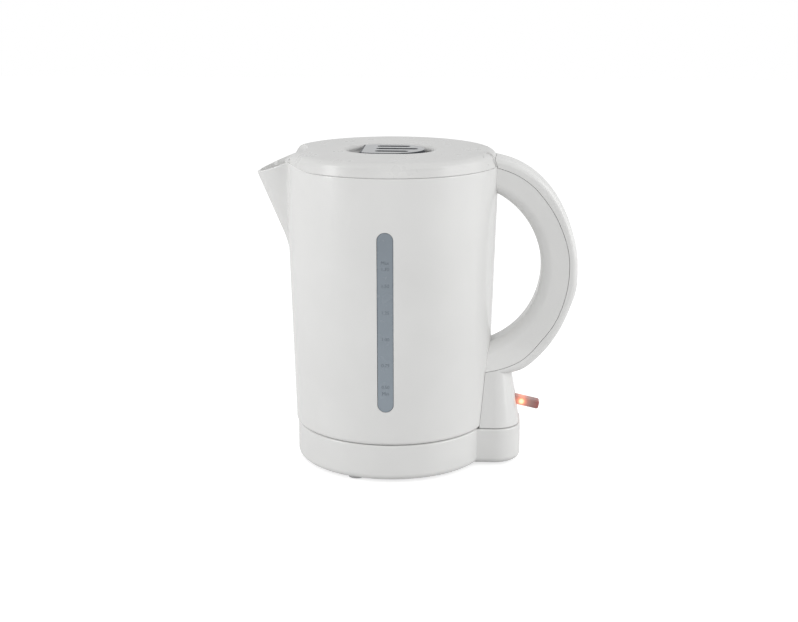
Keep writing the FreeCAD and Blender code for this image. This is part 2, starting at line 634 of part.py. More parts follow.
def make_base():
    boss_places = [(angle, "boss_circle * cos(%d)" % angle, "boss_circle * sin(%d)" % angle)
                   for angle in (60, 180, 300)]
    foot_places = [("-foot_circle * cos(foot_angle)", "-foot_circle * sin(foot_angle)"),
                   ("-foot_circle * cos(foot_angle)", "foot_circle * sin(foot_angle)"),
                   ("rear_foot", "0")]

    skin = padded("base_skin", "XY_Plane", lobe_outline("0"), "base_height", "foot_height")
    rounded(skin, "base_edge_round", flat_at(value("foot_height")))
    rounded(skin, "base_top_round", flat_at(value("base_top")))
    room = padded("base_room", "XY_Plane", lobe_outline("base_wall"), "base_height - base_roof", "foot_height")
    seat = rod("base_seat", "seat_radius", "roof_under", "jug_bottom")
    bosses = [rod("base_boss_%d" % angle, "boss_radius", "plate_top", "base_top - 1", x, y)
              for angle, x, y in boss_places]
    pilots = [rod("base_pilot_%d" % angle, "screw_radius + screw_play", "0", "roof_under - 1", x, y)
              for angle, x, y in boss_places]
    socket_hole = block(
        "base_socket_hole",
        ("socket_x - socket_depth / 2 - piece_play", "socket_x + socket_depth / 2 + piece_play"),
        across("socket_half_width + piece_play"), ("roof_under - 1", "jug_bottom + 1"))
    gland_hole = rod("base_gland_hole", "gland_neck + piece_play", "lobe_half_width - base_wall - 1",
                     "lobe_half_width + 1", x="gland_x", z="gland_z", along="y")
    shell = fuse("base_body", cut("base_tray", skin, room), seat, *bosses)
    node("base_shell", cut("base_shell_cut", shell, socket_hole, gland_hole, *pilots))

    sheet = padded("plate_sheet", "XY_Plane", lobe_outline("base_wall + piece_play"),
                   "plate_thick", "foot_height")
    holes = [rod("plate_hole_%d" % angle, "screw_radius + screw_play", "0", "plate_top + 1", x, y)
             for angle, x, y in boss_places]
    sinks = [rod("plate_sink_%d" % angle, "screw_head_radius + piece_play", "0",
                 "foot_height + screw_head_height", x, y) for angle, x, y in boss_places]
    beds = [rod("plate_bed_%d" % index, "foot_radius + piece_play", "0", "foot_height + foot_sink", x, y)
            for index, (x, y) in enumerate(foot_places)]
    node("base_plate", cut("base_plate_cut", sheet, *holes, *sinks, *beds))

    feet = [rod("foot_%d" % index, "foot_radius", "0", "foot_height + foot_sink", x, y)
            for index, (x, y) in enumerate(foot_places)]
    node("base_feet", group("base_feet_group", *feet))

    screws = []
    for angle, x, y in boss_places:
        seat_level = "foot_height + screw_head_height"
        screws.append(fuse(
            "base_screw_%d" % angle,
            rod("base_screw_head_%d" % angle, "screw_head_radius", "foot_height", seat_level, x, y),
            rod("base_screw_shank_%d" % angle, "screw_radius", "foot_height",
                seat_level + " + base_screw_length", x, y)))
    node("base_screws", group("base_screws_group", *screws))

    slot_x = ("socket_x - blade_thick / 2 - blade_play - contact_thick",
              "socket_x + blade_thick / 2 + blade_play")
    slots, contacts = [], []
    for index in (-1, 0, 1):
        middle = "slot_pitch * %d" % index
        slots.append(block(
            "socket_slot_%d" % (index + 1), slot_x,
            (middle + " - blade_width / 2 - blade_play", middle + " + blade_width / 2 + blade_play"),
            ("socket_top - slot_depth", "socket_top + 1")))
        contacts.append(block(
            "socket_contact_%d" % (index + 1), (slot_x[0], slot_x[0] + " + contact_thick"),
            (middle + " - blade_width / 2", middle + " + blade_width / 2"),
            ("socket_top - slot_depth", "socket_top - slot_depth + contact_rise")))
    post = block("socket_post", ("socket_x - socket_depth / 2", "socket_x + socket_depth / 2"),
                 across("socket_half_width"), ("plate_top", "socket_top"))
    node("base_socket", cut("base_socket_cut", post, *slots))
    node("socket_contacts", group("socket_contacts_group", *contacts))

    inner = "lobe_half_width - base_wall"
    outer = "lobe_half_width"
    spool = fuse(
        "gland_spool",
        rod("gland_neck_rod", "gland_neck", inner + " - gland_tail", outer + " + gland_flange_thick",
            x="gland_x", z="gland_z", along="y"),
        rod("gland_outer_flange", "gland_flange", outer, outer + " + gland_flange_thick",
            x="gland_x", z="gland_z", along="y"),
        rod("gland_inner_flange", "gland_flange", inner + " - gland_flange_thick", inner + " - screw_play",
            x="gland_x", z="gland_z", along="y"))
    bore = rod("gland_bore_rod", "gland_bore", inner + " - gland_tail - 1",
               outer + " + gland_flange_thick + 1", x="gland_x", z="gland_z", along="y")
    node("cord_gland", cut("cord_gland_cut", spool, bore))


def lug_places():
    """Name, distance from the middle plane and height of the four lugs that hold the handle."""
    places = []
    for side, sign in (("near", "-"), ("far", "")):
        places.append(("upper_" + side, sign + "upper_lug_half_pitch", "jug_rim - upper_lug_drop"))
        places.append(("lower_" + side, sign + "lower_lug_half_pitch", "grip_foot + lower_lug_rise"))
    return places


def filter_outline(shrink):
    """The scale filter seen along X: narrow at the foot, as the spout is."""
    low = "filter_low_half - (%s)" % shrink
    top = "filter_top_half - (%s)" % shrink
    return mirrored_outline([(low, "filter_low + (%s)" % shrink), (top, "filter_top - (%s)" % shrink)])


def gauge_outline(grow):
    """The water gauge seen along Y: a slot with round ends."""
    half = "gauge_half_width + (%s)" % grow
    low = "jug_bottom + gauge_low + gauge_half_width"
    high = "jug_bottom + gauge_low + gauge_length - gauge_half_width"
    return [(half, low), (half, high, half, "half left"), ("-(%s)" % half, high),
            ("-(%s)" % half, low, half, "half left")]


def make_jug():
    skin = turned("jug_skin", [
        ("0", "jug_bottom"),
        ("jug_foot_radius - jug_edge_round", "jug_bottom", "jug_edge_round", "left"),
        ("jug_foot_radius + taper * jug_edge_round", "jug_bottom + jug_edge_round"),
        ("jug_rim_radius", "jug_rim"),
        ("0", "jug_rim"),
    ])
    spout_skin = cone("spout_skin", "0", "spout_rim_radius", "jug_rim - spout_depth", "jug_rim",
                      x="-spout_axis")
    above_lip = block("above_lip", ("0", "%d" % FAR), across("%d" % FAR), ("0", "%d" % FAR))
    above_lip.Placement = Placement(Vector(), Rotation(Vector(0, 1, 0), -value("lip_tilt")))
    put(above_lip, "-lip_start - %d * cos(lip_tilt)" % FAR, "-%d" % FAR, "jug_rim - %d * sin(lip_tilt)" % FAR)
    room = cone("jug_room", "jug_foot_radius + taper * jug_floor - jug_wall", "mouth_radius",
                "floor_top", "jug_rim")
    vessel = cut("jug_vessel", fuse("jug_and_spout", skin, cut("spout_cut", spout_skin, above_lip)), room)

    boss = rod("head_boss_rod", "head_boss", "head_boss_in", "head_boss_out", z="head_level", along="x")
    lugs, pilots = [], []
    for name, side, height in lug_places():
        start = wall_x(height, side)
        lugs.append(rod("lug_" + name, "lug_radius", start + " - jug_wall / 2", "lug_reach",
                        y=side, z=height, along="x"))
        pilots.append(rod("lug_pilot_" + name, "screw_radius + screw_play", start, "lug_reach + 1",
                          y=side, z=height, along="x"))

    share = "(1 - (spout_wall + 1) / spout_rim_radius)"
    throat = cone("spout_throat", "1", "spout_rim_radius - spout_wall", "jug_rim - spout_depth * " + share,
                  "jug_rim", x="-spout_axis")
    filter_hole = padded("filter_hole", "YZ_Plane", filter_outline("-piece_play"), "spout_wall * 8",
                         "-spout_axis - spout_wall * 2")
    keeper = block("keeper_slot", ("-spout_axis - jug_wall * 2", "-spout_axis + jug_wall * 2"),
                   across("leg_half_width + piece_play"),
                   ("bolt_under - keeper_play", "bolt_top + keeper_play"))
    gauge_slot = padded("gauge_slot", "XZ_Plane", gauge_outline("0"), "jug_wall * 8",
                        "jug_foot_radius - jug_wall * 4")
    head_hole = rod("head_hole", "head_bore", "head_boss_in - 1", "head_boss_out + 1",
                    z="head_level", along="x")
    port = rod("steam_port", "port_radius", "jug_rim_radius - jug_wall * 3", "jug_rim_radius + jug_wall",
               z="jug_rim - port_drop", along="x")
    node("jug_shell", cut(
        "jug_shell_cut", fuse("jug_with_lugs", vessel, boss, *lugs),
        cut("spout_room", throat, skin), filter_hole, keeper, gauge_slot, head_hole, port, *pilots))

    pane = common(
        "gauge_pane", padded("gauge_plug", "XZ_Plane", gauge_outline("-piece_play / 2"), "jug_wall * 8",
                             "jug_foot_radius - jug_wall * 4"),
        cut("gauge_depth", jug_cone("gauge_front", "-gauge_recess"),
            jug_cone("gauge_back", "-jug_wall - piece_play / 2 - gauge_thick")))
    flange = common(
        "gauge_flange_piece", padded("gauge_flange_block", "XZ_Plane", gauge_outline("gauge_flange"),
                                     "jug_wall * 8", "jug_foot_radius - jug_wall * 4"),
        cut("gauge_flange_depth", jug_cone("gauge_flange_front", "-jug_wall - piece_play / 2"),
            jug_cone("gauge_flange_back", "-jug_wall - piece_play / 2 - gauge_thick")))
    node("water_window", fuse("water_window_fuse", pane, flange))


def make_filter():
    middle = "-spout_axis + jug_wall / 2 - piece_play"
    back = middle + " - filter_thick / 2"
    outer = padded("filter_outer", "YZ_Plane", filter_outline("0"), "filter_thick", back)
    inner = padded("filter_inner", "YZ_Plane", filter_outline("filter_frame_width"), "filter_thick + 2",
                   back + " - 1")
    node("filter_frame", cut("filter_frame_cut", outer, inner))

    # Square holes on an even grid, as many as lie wholly inside the tapering sheet
    inset = value("filter_frame_width + piece_play / 3")
    low, top = value("filter_low") + inset, value("filter_top") - inset
    low_half, top_half = value("filter_low_half") - inset, value("filter_top_half") - inset
    hole, pitch, start = value("mesh_hole"), value("mesh_hole + mesh_bar"), value(middle + " - mesh_thick / 2")

    def loop(corners):
        points = [Vector(start, across_mm, up_mm) for across_mm, up_mm in corners]
        return Part.makePolygon(points + points[:1])

    sheet = Part.Face(loop([(-low_half, low), (low_half, low), (top_half, top), (-top_half, top)]))
    openings = []
    for rank in range(int((top - low - pitch) / pitch)):
        foot = low + pitch / 2 + rank * pitch
        half = low_half + (top_half - low_half) * (foot - low) / (top - low)
        reach = int((half - pitch / 2) / pitch)
        for file in range(-reach, reach + 1):
            left = file * pitch - hole / 2
            openings.append(Part.Face(loop([
                (left, foot), (left + hole, foot), (left + hole, foot + hole), (left, foot + hole)])))
    if openings:
        sheet = sheet.cut(Part.makeCompound(openings))
    mesh = doc.addObject("Part::Feature", "filter_mesh_sheet")
    mesh.Shape = sheet.Faces[0].extrude(Vector(value("mesh_thick"), 0, 0))
    node("filter_mesh", mesh)


def handle_sides(name):
    """The space that the handle fills seen along X: even above, and widening in an arc to the housing."""
    sweep = "(flare_height ^ 2 + foot_spread ^ 2) / (2 * foot_spread)"
    corners = [
        ("-foot_half_width", "jug_bottom"),
        ("foot_half_width", "jug_bottom"),
        ("foot_half_width", "grip_foot", sweep, "right"),
        ("handle_half_width", "flare_start"),
        ("handle_half_width", "jug_rim + bridge_rise * 2"),
        ("-handle_half_width", "jug_rim + bridge_rise * 2"),
        ("-handle_half_width", "flare_start", sweep, "right"),
        ("-foot_half_width", "grip_foot"),
    ]
    return padded(name, "YZ_Plane", corners, "handle_reach", "0")


def on_arc(centre, level, radius, height, sign="+"):
    """Distance along X of an arc's point at a height."""
    return "%s %s sqrt((%s) ^ 2 - (%s - (%s)) ^ 2)" % (centre, sign, radius, height, level)


def make_handle():
    root = "wall_inside"
    inner_rise = "sqrt(grip_radius ^ 2 - (wall_inside - grip_x) ^ 2)"
    inner_turn = "left long" if value("grip_x") > value(root) else "left"
    side_view = padded("grip_side", "XZ_Plane", [
        (root, "grip_level + " + inner_rise),
        (root, "grip_top"),
        (on_arc("strip_x", "strip_level", "strip_radius", "grip_top"), "grip_top", "strip_radius", "right"),
        (on_arc("strip_x", "strip_level", "strip_radius", "grip_foot"), "grip_foot"),
        (root, "grip_foot"),
        (root, "grip_level - " + inner_rise, "grip_radius", inner_turn),
    ], "foot_half_width * 2", symmetric=True)
    grip_block = doc.addObject("PartDesign::Body", "grip_block")
    grip_block.BaseFeature = common("grip_common", side_view, handle_sides("grip_sides"))
    doc.recompute()
    hub = Vector(value("grip_x"), 0, value("grip_level"))

    def inner_edge(edge):
        middle = edge.valueAt((edge.FirstParameter + edge.LastParameter) / 2)
        reach = math.hypot(middle.x - hub.x, middle.z - hub.z)
        on_rim = abs(reach - value("grip_radius")) < 1e-3
        return on_rim and abs(middle.y) > 1 and edge.Length > value("grip_round")
    rounded(grip_block, "grip_round", inner_edge)

    duct = doc.addObject("Part::Torus", "grip_duct")
    duct.Placement = Placement(Vector(), TURNS["y"])
    bind(duct, Radius1="duct_arc", Radius2="duct_radius")
    put(duct, "strip_x", "0", "strip_level")
    feed = rod("grip_feed", "port_radius", "wall_inside", on_arc(
        "strip_x", "strip_level", "duct_arc", "jug_rim - port_drop"), z="jug_rim - port_drop", along="x")
    outlet = rod("grip_outlet", "tube_radius", "grip_foot - 1",
                 "strip_level + duct_arc * sin(tube_start_angle)",
                 x="strip_x + duct_arc * cos(tube_start_angle)")
    holes = []
    seat = "lug_reach + piece_play + handle_screw_grip"
    for name, side, height in lug_places():
        spot = {"y": side, "z": height, "along": "x"}
        holes += [
            rod("grip_lug_" + name, "lug_radius + piece_play", "wall_inside", "lug_reach + piece_play", **spot),
            rod("grip_screw_" + name, "screw_radius + screw_play", "lug_reach", seat + " + 1", **spot),
            rod("grip_sink_" + name, "screw_head_radius + piece_play", seat, "handle_reach", **spot)]
    node("handle_grip", cut(
        "handle_grip_cut", grip_block, jug_clearance("grip_clear"), duct, feed, outlet, *holes))

    screws = []
    for name, side, height in lug_places():
        spot = {"y": side, "z": height, "along": "x"}
        screws.append(fuse(
            "handle_screw_" + name,
            rod("handle_screw_shank_" + name, "screw_radius", wall_x(height, side) + " + piece_play", seat,
                **spot),
            rod("handle_screw_head_" + name, "screw_head_radius", seat, seat + " + screw_head_height",
                **spot)))
    node("handle_screws", group("handle_screws_group", *screws))

    tube_turn = math.radians(value("tube_start_angle"))
    forward = Vector(math.cos(tube_turn), 0, math.sin(tube_turn))
    upward = Vector(-math.sin(tube_turn), 0, math.cos(tube_turn))
    rings = []
    for name, radius in (("steam_tube_skin", "tube_radius"), ("steam_tube_bore", "tube_bore")):
        ring = doc.addObject("Part::Torus", name)
        ring.Placement = Placement(Vector(), Rotation(forward, upward, Vector(0, -1, 0), "XYZ"))
        bind(ring, Radius1="duct_arc", Radius2=radius, Angle3="tube_sweep_angle")
        rings.append(put(ring, "strip_x", "0", "strip_level"))
    node("steam_tube", cut("steam_tube_cut", *rings))


def make_rear_cover():
    """The handle's outer strip and the switch housing under it, one moulding."""
    root = "wall_inside"
    outer_turn = "left long" if value("handle_x") > value(root) else "left"
    seam = "(strip_radius + piece_play)"
    seam_top = "(grip_top + piece_play)"
    strip_side = padded("strip_side", "XZ_Plane", [
        (root, seam_top),
        (on_arc("strip_x", "strip_level", seam, seam_top), seam_top, seam, "right"),
        (on_arc("strip_x", "strip_level", seam, "tower_top"), "tower_top"),
        (root, "tower_top"),
        (root, "handle_level - sqrt(handle_radius ^ 2 - (wall_inside - handle_x) ^ 2)",
         "handle_radius", outer_turn),
        (on_arc("handle_x", "handle_level", "handle_radius", "bridge_top"), "bridge_top"),
        (root, "bridge_top"),
    ], "foot_half_width * 2", symmetric=True)
    strip_block = doc.addObject("PartDesign::Body", "strip_block")
    strip_block.BaseFeature = common("strip_common", strip_side, handle_sides("strip_sides"))
    doc.recompute()
    hub = Vector(value("handle_x"), 0, value("handle_level"))

    def outer_edge(edge):
        middle = edge.valueAt((edge.FirstParameter + edge.LastParameter) / 2)
        reach = math.hypot(middle.x - hub.x, middle.z - hub.z)
        on_rim = abs(reach - value("handle_radius")) < 1e-3
        return on_rim and abs(middle.y) > 1 and edge.Length > value("strip_round")
    rounded(strip_block, "strip_round", outer_edge)

    tower = lofted(
        "tower_skin", tower_outline("tower_half_width", "tower_reach", "tower_corner"), "jug_bottom",
        tower_outline("tower_top_half_width", "tower_top_reach", "tower_top_corner"), "tower_top")
    room = lofted(
        "tower_room",
        tower_outline("tower_half_width - tower_wall", "tower_reach - tower_wall",
                      "tower_corner - tower_wall"), "jug_bottom",
        tower_outline("tower_top_half_width - tower_wall", "tower_top_reach - tower_wall",
                      "tower_top_corner - tower_wall"), "tower_top - tower_wall")
    half = "(lever_width / 2 + lever_play)"
    low, high = "(pivot_z - lever_slot_under)", "(pivot_z + lever_slot_over)"
    side = half + " - lever_slot_corner"
    slot = padded("lever_slot", "YZ_Plane", [
        ("-(%s)" % side, low),
        (side, low, "lever_slot_corner", "left"),
        (half, low + " + lever_slot_corner"),
        (half, high + " - lever_slot_corner", "lever_slot_corner", "left"),
        (side, high),
        ("-(%s)" % side, high, "lever_slot_corner", "left"),
        ("-" + half, high + " - lever_slot_corner"),
        ("-" + half, low + " + lever_slot_corner", "lever_slot_corner", "left"),
    ], "handle_reach - pivot_x", "pivot_x")
    outlet = rod("cover_outlet", "tube_radius", "tower_top - tower_wall * 3", "tower_top + 1",
                 x="strip_x + duct_arc * cos(tube_start_angle)")
    node("rear_cover", cut("rear_cover_cut", fuse("cover_body", strip_block, tower),
                           jug_clearance("cover_clear"), room, slot, outlet))


def make_element():
    spot = {"z": "head_level", "along": "x"}
    flange_back = "head_boss_in - gasket_thick"
    screw_spots = [{"y": sign + "head_screw_half_pitch", "z": "head_level", "along": "x"}
                   for sign in ("-", "")]
    plate_out = "head_boss_out + control_thick"
    plug = fuse(
        "head_plug",
        rod("head_flange_rod", "head_flange", flange_back + " - head_flange_thick", flange_back, **spot),
        rod("head_plug_rod", "head_bore - piece_play", flange_back, "head_boss_out", **spot))
    threads = [rod("head_thread_%d" % index, "screw_radius + screw_play", "head_boss_in",
                   "head_boss_out + 1", **place)
               for index, place in enumerate(screw_spots)]
    node("element_head", cut("element_head_cut", plug, *threads))
    node("head_gasket", cut(
        "head_gasket_cut", rod("gasket_rod", "head_flange", flange_back, "head_boss_in", **spot),
        rod("gasket_hole", "head_bore", flange_back + " - 1", "head_boss_in + 1", **spot)))
    screws = [fuse(
        "head_screw_%d" % index,
        rod("head_screw_shank_%d" % index, "screw_radius", "head_boss_in + screw_play", plate_out, **place),
        rod("head_screw_head_%d" % index, "screw_head_radius", plate_out, plate_out + " + screw_head_height",
            **place))
        for index, place in enumerate(screw_spots)]
    node("head_screws", group("head_screws_group", *screws))
    node("boil_dry_disc", fuse(
        "boil_dry_fuse",
        rod("boil_dry_rod", "boil_dry_radius", "head_boss_out", "head_boss_out + disc_thick", **spot),
        rod("boil_dry_stud", "screw_radius", "head_boss_out", "head_boss_out + disc_thick * 2", **spot)))

    # Tail, S-bend, outer bend, half turn back, inner loop; then the same mirrored
    level = value("head_level - coil_drop")
    tail, bend = value("coil_tail"), value("coil_bend")
    outer, inner = value("coil_outer"), value("coil_inner")
    end_angle = math.radians(value("coil_end_angle"))
    start_x = value(flange_back + " - head_flange_thick")
    bend_x = math.sqrt((outer + bend) ** 2 - (tail + bend) ** 2)
    join_angle = math.atan2(tail + bend, bend_x)

    def ring_point(radius, angle):
        return Vector(radius * math.cos(angle), radius * math.sin(angle), level)

    def arc(start, middle, end):
        return Part.Arc(start, middle, end).toShape()

    def half_path(sign):
        def flip(point):
            return Vector(point.x, sign * point.y, point.z)
        bend_middle_angle = (join_angle + math.pi - math.pi / 2) / 2 + math.pi / 2
        centre = Vector(bend_x, tail + bend, level)
        bend_middle = centre + Vector(math.cos(bend_middle_angle + math.pi / 2),
                                      math.sin(bend_middle_angle + math.pi / 2), 0) * bend
        turn_middle = ring_point((outer + inner) / 2, end_angle) + Vector(
            -math.sin(end_angle), math.cos(end_angle), 0) * (outer - inner) / 2
        points = [
            [Vector(start_x, tail, level), Vector(bend_x, tail, level)],
            [Vector(bend_x, tail, level), bend_middle, ring_point(outer, join_angle)],
            [ring_point(outer, join_angle), ring_point(outer, (join_angle + end_angle) / 2),
             ring_point(outer, end_angle)],
            [ring_point(outer, end_angle), turn_middle, ring_point(inner, end_angle)],
            [ring_point(inner, end_angle), ring_point(inner, end_angle / 2), ring_point(inner, 0)],
        ]
        return [[flip(point) for point in side] for side in points]

    sides = half_path(1) + [side[::-1] for side in half_path(-1)[::-1]]
    edges = [Part.LineSegment(*side).toShape() if len(side) == 2 else arc(*side) for side in sides]
    path = Part.Wire(edges)
    section = Part.Wire(Part.Circle(sides[0][0], Vector(-1, 0, 0), value("coil_radius")).toShape())
    tube = doc.addObject("Part::Feature", "heating_tube")
    tube.Shape = path.makePipeShell([section], True, False)
    print("heating tube: length %.1f, volume ratio %.5f" % (
        path.Length, tube.Shape.Volume / (math.pi * value("coil_radius") ** 2 * path.Length)))
    node("heating_element", tube)


def make_control():
    plate_out = "head_boss_out + control_thick"
    plate = block("control_plate", ("head_boss_out", plate_out), across("control_half_width"),
                  ("control_foot", "control_foot + control_height"))
    carrier = block("control_carrier", ("head_boss_out", "head_boss_out + carrier_length"),
                    across("control_half_width - 1"), ("control_foot", "control_floor"))
    ear_in = "(lever_width / 2 + lever_play)"
    ears = [block("control_ear_" + side, (plate_out, "pivot_x + pivot_pin * 2"),
                  (low, high), ("control_foot", "pivot_z + pivot_pin * 2.5"))
            for side, low, high in (("near", "-%s - ear_thick" % ear_in, "-" + ear_in),
                                    ("far", ear_in, ear_in + " + ear_thick"))]
    shelf = block("control_shelf", (plate_out, "socket_x + steam_disc_radius / 2"), across("lever_width / 2"),
                  ("shelf_low", "shelf_low + disc_thick * 2"))
    pin_hole = rod("control_pin_hole", "pivot_pin + running_play", "-%s - ear_thick - 1" % ear_in,
                   ear_in + " + ear_thick + 1", x="pivot_x", z="pivot_z", along="y")
    disc_hole = rod("control_disc_hole", "boil_dry_radius + 1", "head_boss_out - 1", plate_out + " + 1",
                    z="head_level", along="x")
    screw_holes = [rod("control_screw_hole_" + side, "screw_radius + screw_play", "head_boss_out - 1",
                       plate_out + " + 1", y=sign + "head_screw_half_pitch", z="head_level", along="x")
                   for side, sign in (("near", "-"), ("far", ""))]
    sinks = [rod("control_screw_sink_" + side, "screw_head_radius + piece_play", plate_out, "pivot_x",
                 y=sign + "head_screw_half_pitch", z="head_level", along="x")
             for side, sign in (("near", "-"), ("far", ""))]
    node("control_body", cut("control_body_cut", fuse("control_fuse", plate, carrier, shelf, *ears),
                             pin_hole, disc_hole, *screw_holes, *sinks))

    blades = [block("inlet_blade_%d" % (index + 1),
                    ("socket_x - blade_thick / 2", "socket_x + blade_thick / 2"),
                    ("slot_pitch * %d - blade_width / 2" % index, "slot_pitch * %d + blade_width / 2" % index),
                    ("control_foot - blade_length", "control_foot")) for index in (-1, 0, 1)]
    node("inlet_pins", group("inlet_pins_group", *blades))

    disc_low = "shelf_low + disc_thick * 2"
    disc_x = plate_out + " + steam_disc_radius + piece_play"
    node("steam_disc", fuse(
        "steam_disc_fuse",
        rod("steam_disc_rod", "steam_disc_radius", disc_low, disc_low + " + disc_thick", x=disc_x),
        rod("steam_disc_stud", "screw_radius", disc_low, disc_low + " + disc_thick * 2", x=disc_x)))
    pin_half = ear_in + " + ear_thick"
    pin = fuse("lever_pin_fuse",
               rod("lever_pin_rod", "pivot_pin", "-" + pin_half.replace(" +", " -"), pin_half,
                   x="pivot_x", z="pivot_z", along="y"),
               rod("lever_pin_head", "pivot_pin * 1.6", pin_half, pin_half + " + pivot_pin / 2",
                   x="pivot_x", z="pivot_z", along="y"))
    node("lever_pin", pin)


def make_lever():
    """Drawn level about its pin, then tipped to its slope."""
    half = "(lever_thick / 2)"
    flat = "(lever_length - lever_corner)"
    paddle = padded("lever_paddle", "XZ_Plane", [
        ("0", "-" + half),
        (flat, "-" + half, "lever_corner", "left"),
        ("lever_length", "lever_corner - " + half),
        ("lever_length", half + " - lever_corner", "lever_corner", "left"),
        (flat, half),
        ("0", half, half, "half left"),
    ], "lever_width", symmetric=True)
    bore = rod("lever_bore", "pivot_pin + running_play", "-lever_width", "lever_width", along="y")
    pocket_half = "(lamp_radius + piece_play)"
    pocket = block("lever_pocket", ("lamp_start - piece_play", "lamp_start + lamp_length + piece_play"),
                   across(pocket_half), ("-lever_thick", "lamp_radius"))
    lamp = fuse("lamp_fuse",
                rod("lamp_glass", "lamp_radius", "lamp_start", "lamp_start + lamp_length - lamp_radius",
                    along="x"),
                cone("lamp_tip", "lamp_radius", "lamp_radius / 2", "lamp_start + lamp_length - lamp_radius",
                     "lamp_start + lamp_length", along="x"))
    tip = Rotation(Vector(0, 1, 0), value("lever_tilt_angle"))
    for name, thing in (("switch_lever", cut("lever_cut", paddle, bore, pocket)), ("neon_lamp", lamp)):
        thing.Placement = Placement(Vector(), tip)
        node(name, thing)
        put(thing, "axis_x + pivot_x", "0", "pivot_z")


def bridge_form(name, grow):
    """The hinge bridge about the pin: an even middle and tapering ends, grown all round."""
    spot = {"x": "hinge_x", "z": "hinge_z", "along": "y"}
    flat = "(bridge_half_flat + (%s))" % grow
    end = "(bridge_half_width + (%s))" % grow
    thick = "bridge_radius + (%s)" % grow
    thin = "bridge_end_radius + (%s)" % grow
    return fuse(
        name,
        rod(name + "_middle", thick, "-" + flat, flat, **spot),
        cone(name + "_far", thick, thin, flat, end, **spot),
        cone(name + "_near", thin, thick, "-" + end, "-" + flat, **spot))


def make_hinge():
    arm_low = "(arm_start - arm_play)"
    arm_high = "(arm_start + arm_thick + arm_play)"
    room = fuse(
        "bridge_room",
        rod("bridge_on_rim", "jug_rim_radius", "jug_rim", "bridge_top"),
        rod("bridge_in_mouth", "mouth_radius - piece_play", "jug_rim - bridge_radius", "jug_rim + 1"))
    slots = [block("bridge_slot_" + side, ("0", "handle_reach"), span, ("jug_rim - jug_height / 4", "lid_top"))
             for side, span in (("near", ("-" + arm_high, "-" + arm_low)), ("far", (arm_low, arm_high)))]
    blocks = cut("bridge_blocks", common("bridge_common", bridge_form("bridge_form", "0"), room), *slots)
    sole_top = "(hinge_z - arm_radius - arm_play)"
    sole = common(
        "bridge_sole_common",
        block("bridge_sole_block", ("hinge_x - bridge_radius * 0.8", "hinge_x + bridge_radius"),
              across("bridge_half_width * 0.8"), (sole_top + " - bridge_sole", sole_top)),
        rod("bridge_sole_mouth", "mouth_radius - piece_play", "jug_rim - jug_height / 4", "jug_rim"))
    pin_hole = rod("bridge_pin_hole", "hinge_pin + running_play", "-hinge_pin_half - piece_play",
                   "hinge_pin_half + piece_play", x="hinge_x", z="hinge_z", along="y")
    node("hinge_bracket", cut("hinge_bracket_cut", fuse("bridge_fuse", blocks, sole), pin_hole))
    pin = fuse("hinge_pin_fuse",
               rod("hinge_pin_rod", "hinge_pin", "-hinge_pin_half", "0", x="hinge_x", z="hinge_z", along="y"),
               rod("hinge_pin_rod_far", "hinge_pin", "0", "hinge_pin_half",
                   x="hinge_x", z="hinge_z", along="y"))
    pin.Refine = True
    node("hinge_pin", pin)


def stadium(name, radius, front, rear, low, height):
    """An oval pad along X whose round ends have their middles at front and rear."""
    return padded(name, "XY_Plane", [
        (front, "-(%s)" % radius), (rear, "-(%s)" % radius, radius, "half left"),
        (rear, radius), (front, radius, radius, "half left")], height, low)


def lid_outline(shrink, front):
    """The lid seen from above: a circle with a flat front towards the spout and rounded corners there."""
    radius = "(jug_rim_radius - (%s))" % shrink
    inner = "(%s - lid_corner)" % radius
    side = "sqrt(%s ^ 2 - (%s - lid_corner) ^ 2)" % (inner, front)
    far_x = "-(%s - lid_corner) * %s / %s" % (front, radius, inner)
    far_y = "%s * %s / %s" % (side, radius, inner)
    return [
        ("-(%s)" % front, side),
        ("-(%s)" % front, "-" + side, "lid_corner", "left"),
        (far_x, "-" + far_y, radius, "left long"),
        (far_x, far_y, "lid_corner", "left"),
    ]


def scoop_form(name, grown):
    """Half an egg sunk into the lid's top at its front edge."""
    thing = doc.addObject("Part::Ellipsoid", name)
    bind(thing, Radius1="front_scoop_depth + (%s)" % grown, Radius2="front_scoop_length + (%s)" % grown,
         Radius3="front_scoop_half_width + (%s)" % grown)
    return put(thing, "-lip_start", "0", "lid_top")


def lid_screw_places():
    return [(x + "lid_screw_x", y + "lid_screw_y") for x in ("-", "") for y in ("-", "")]


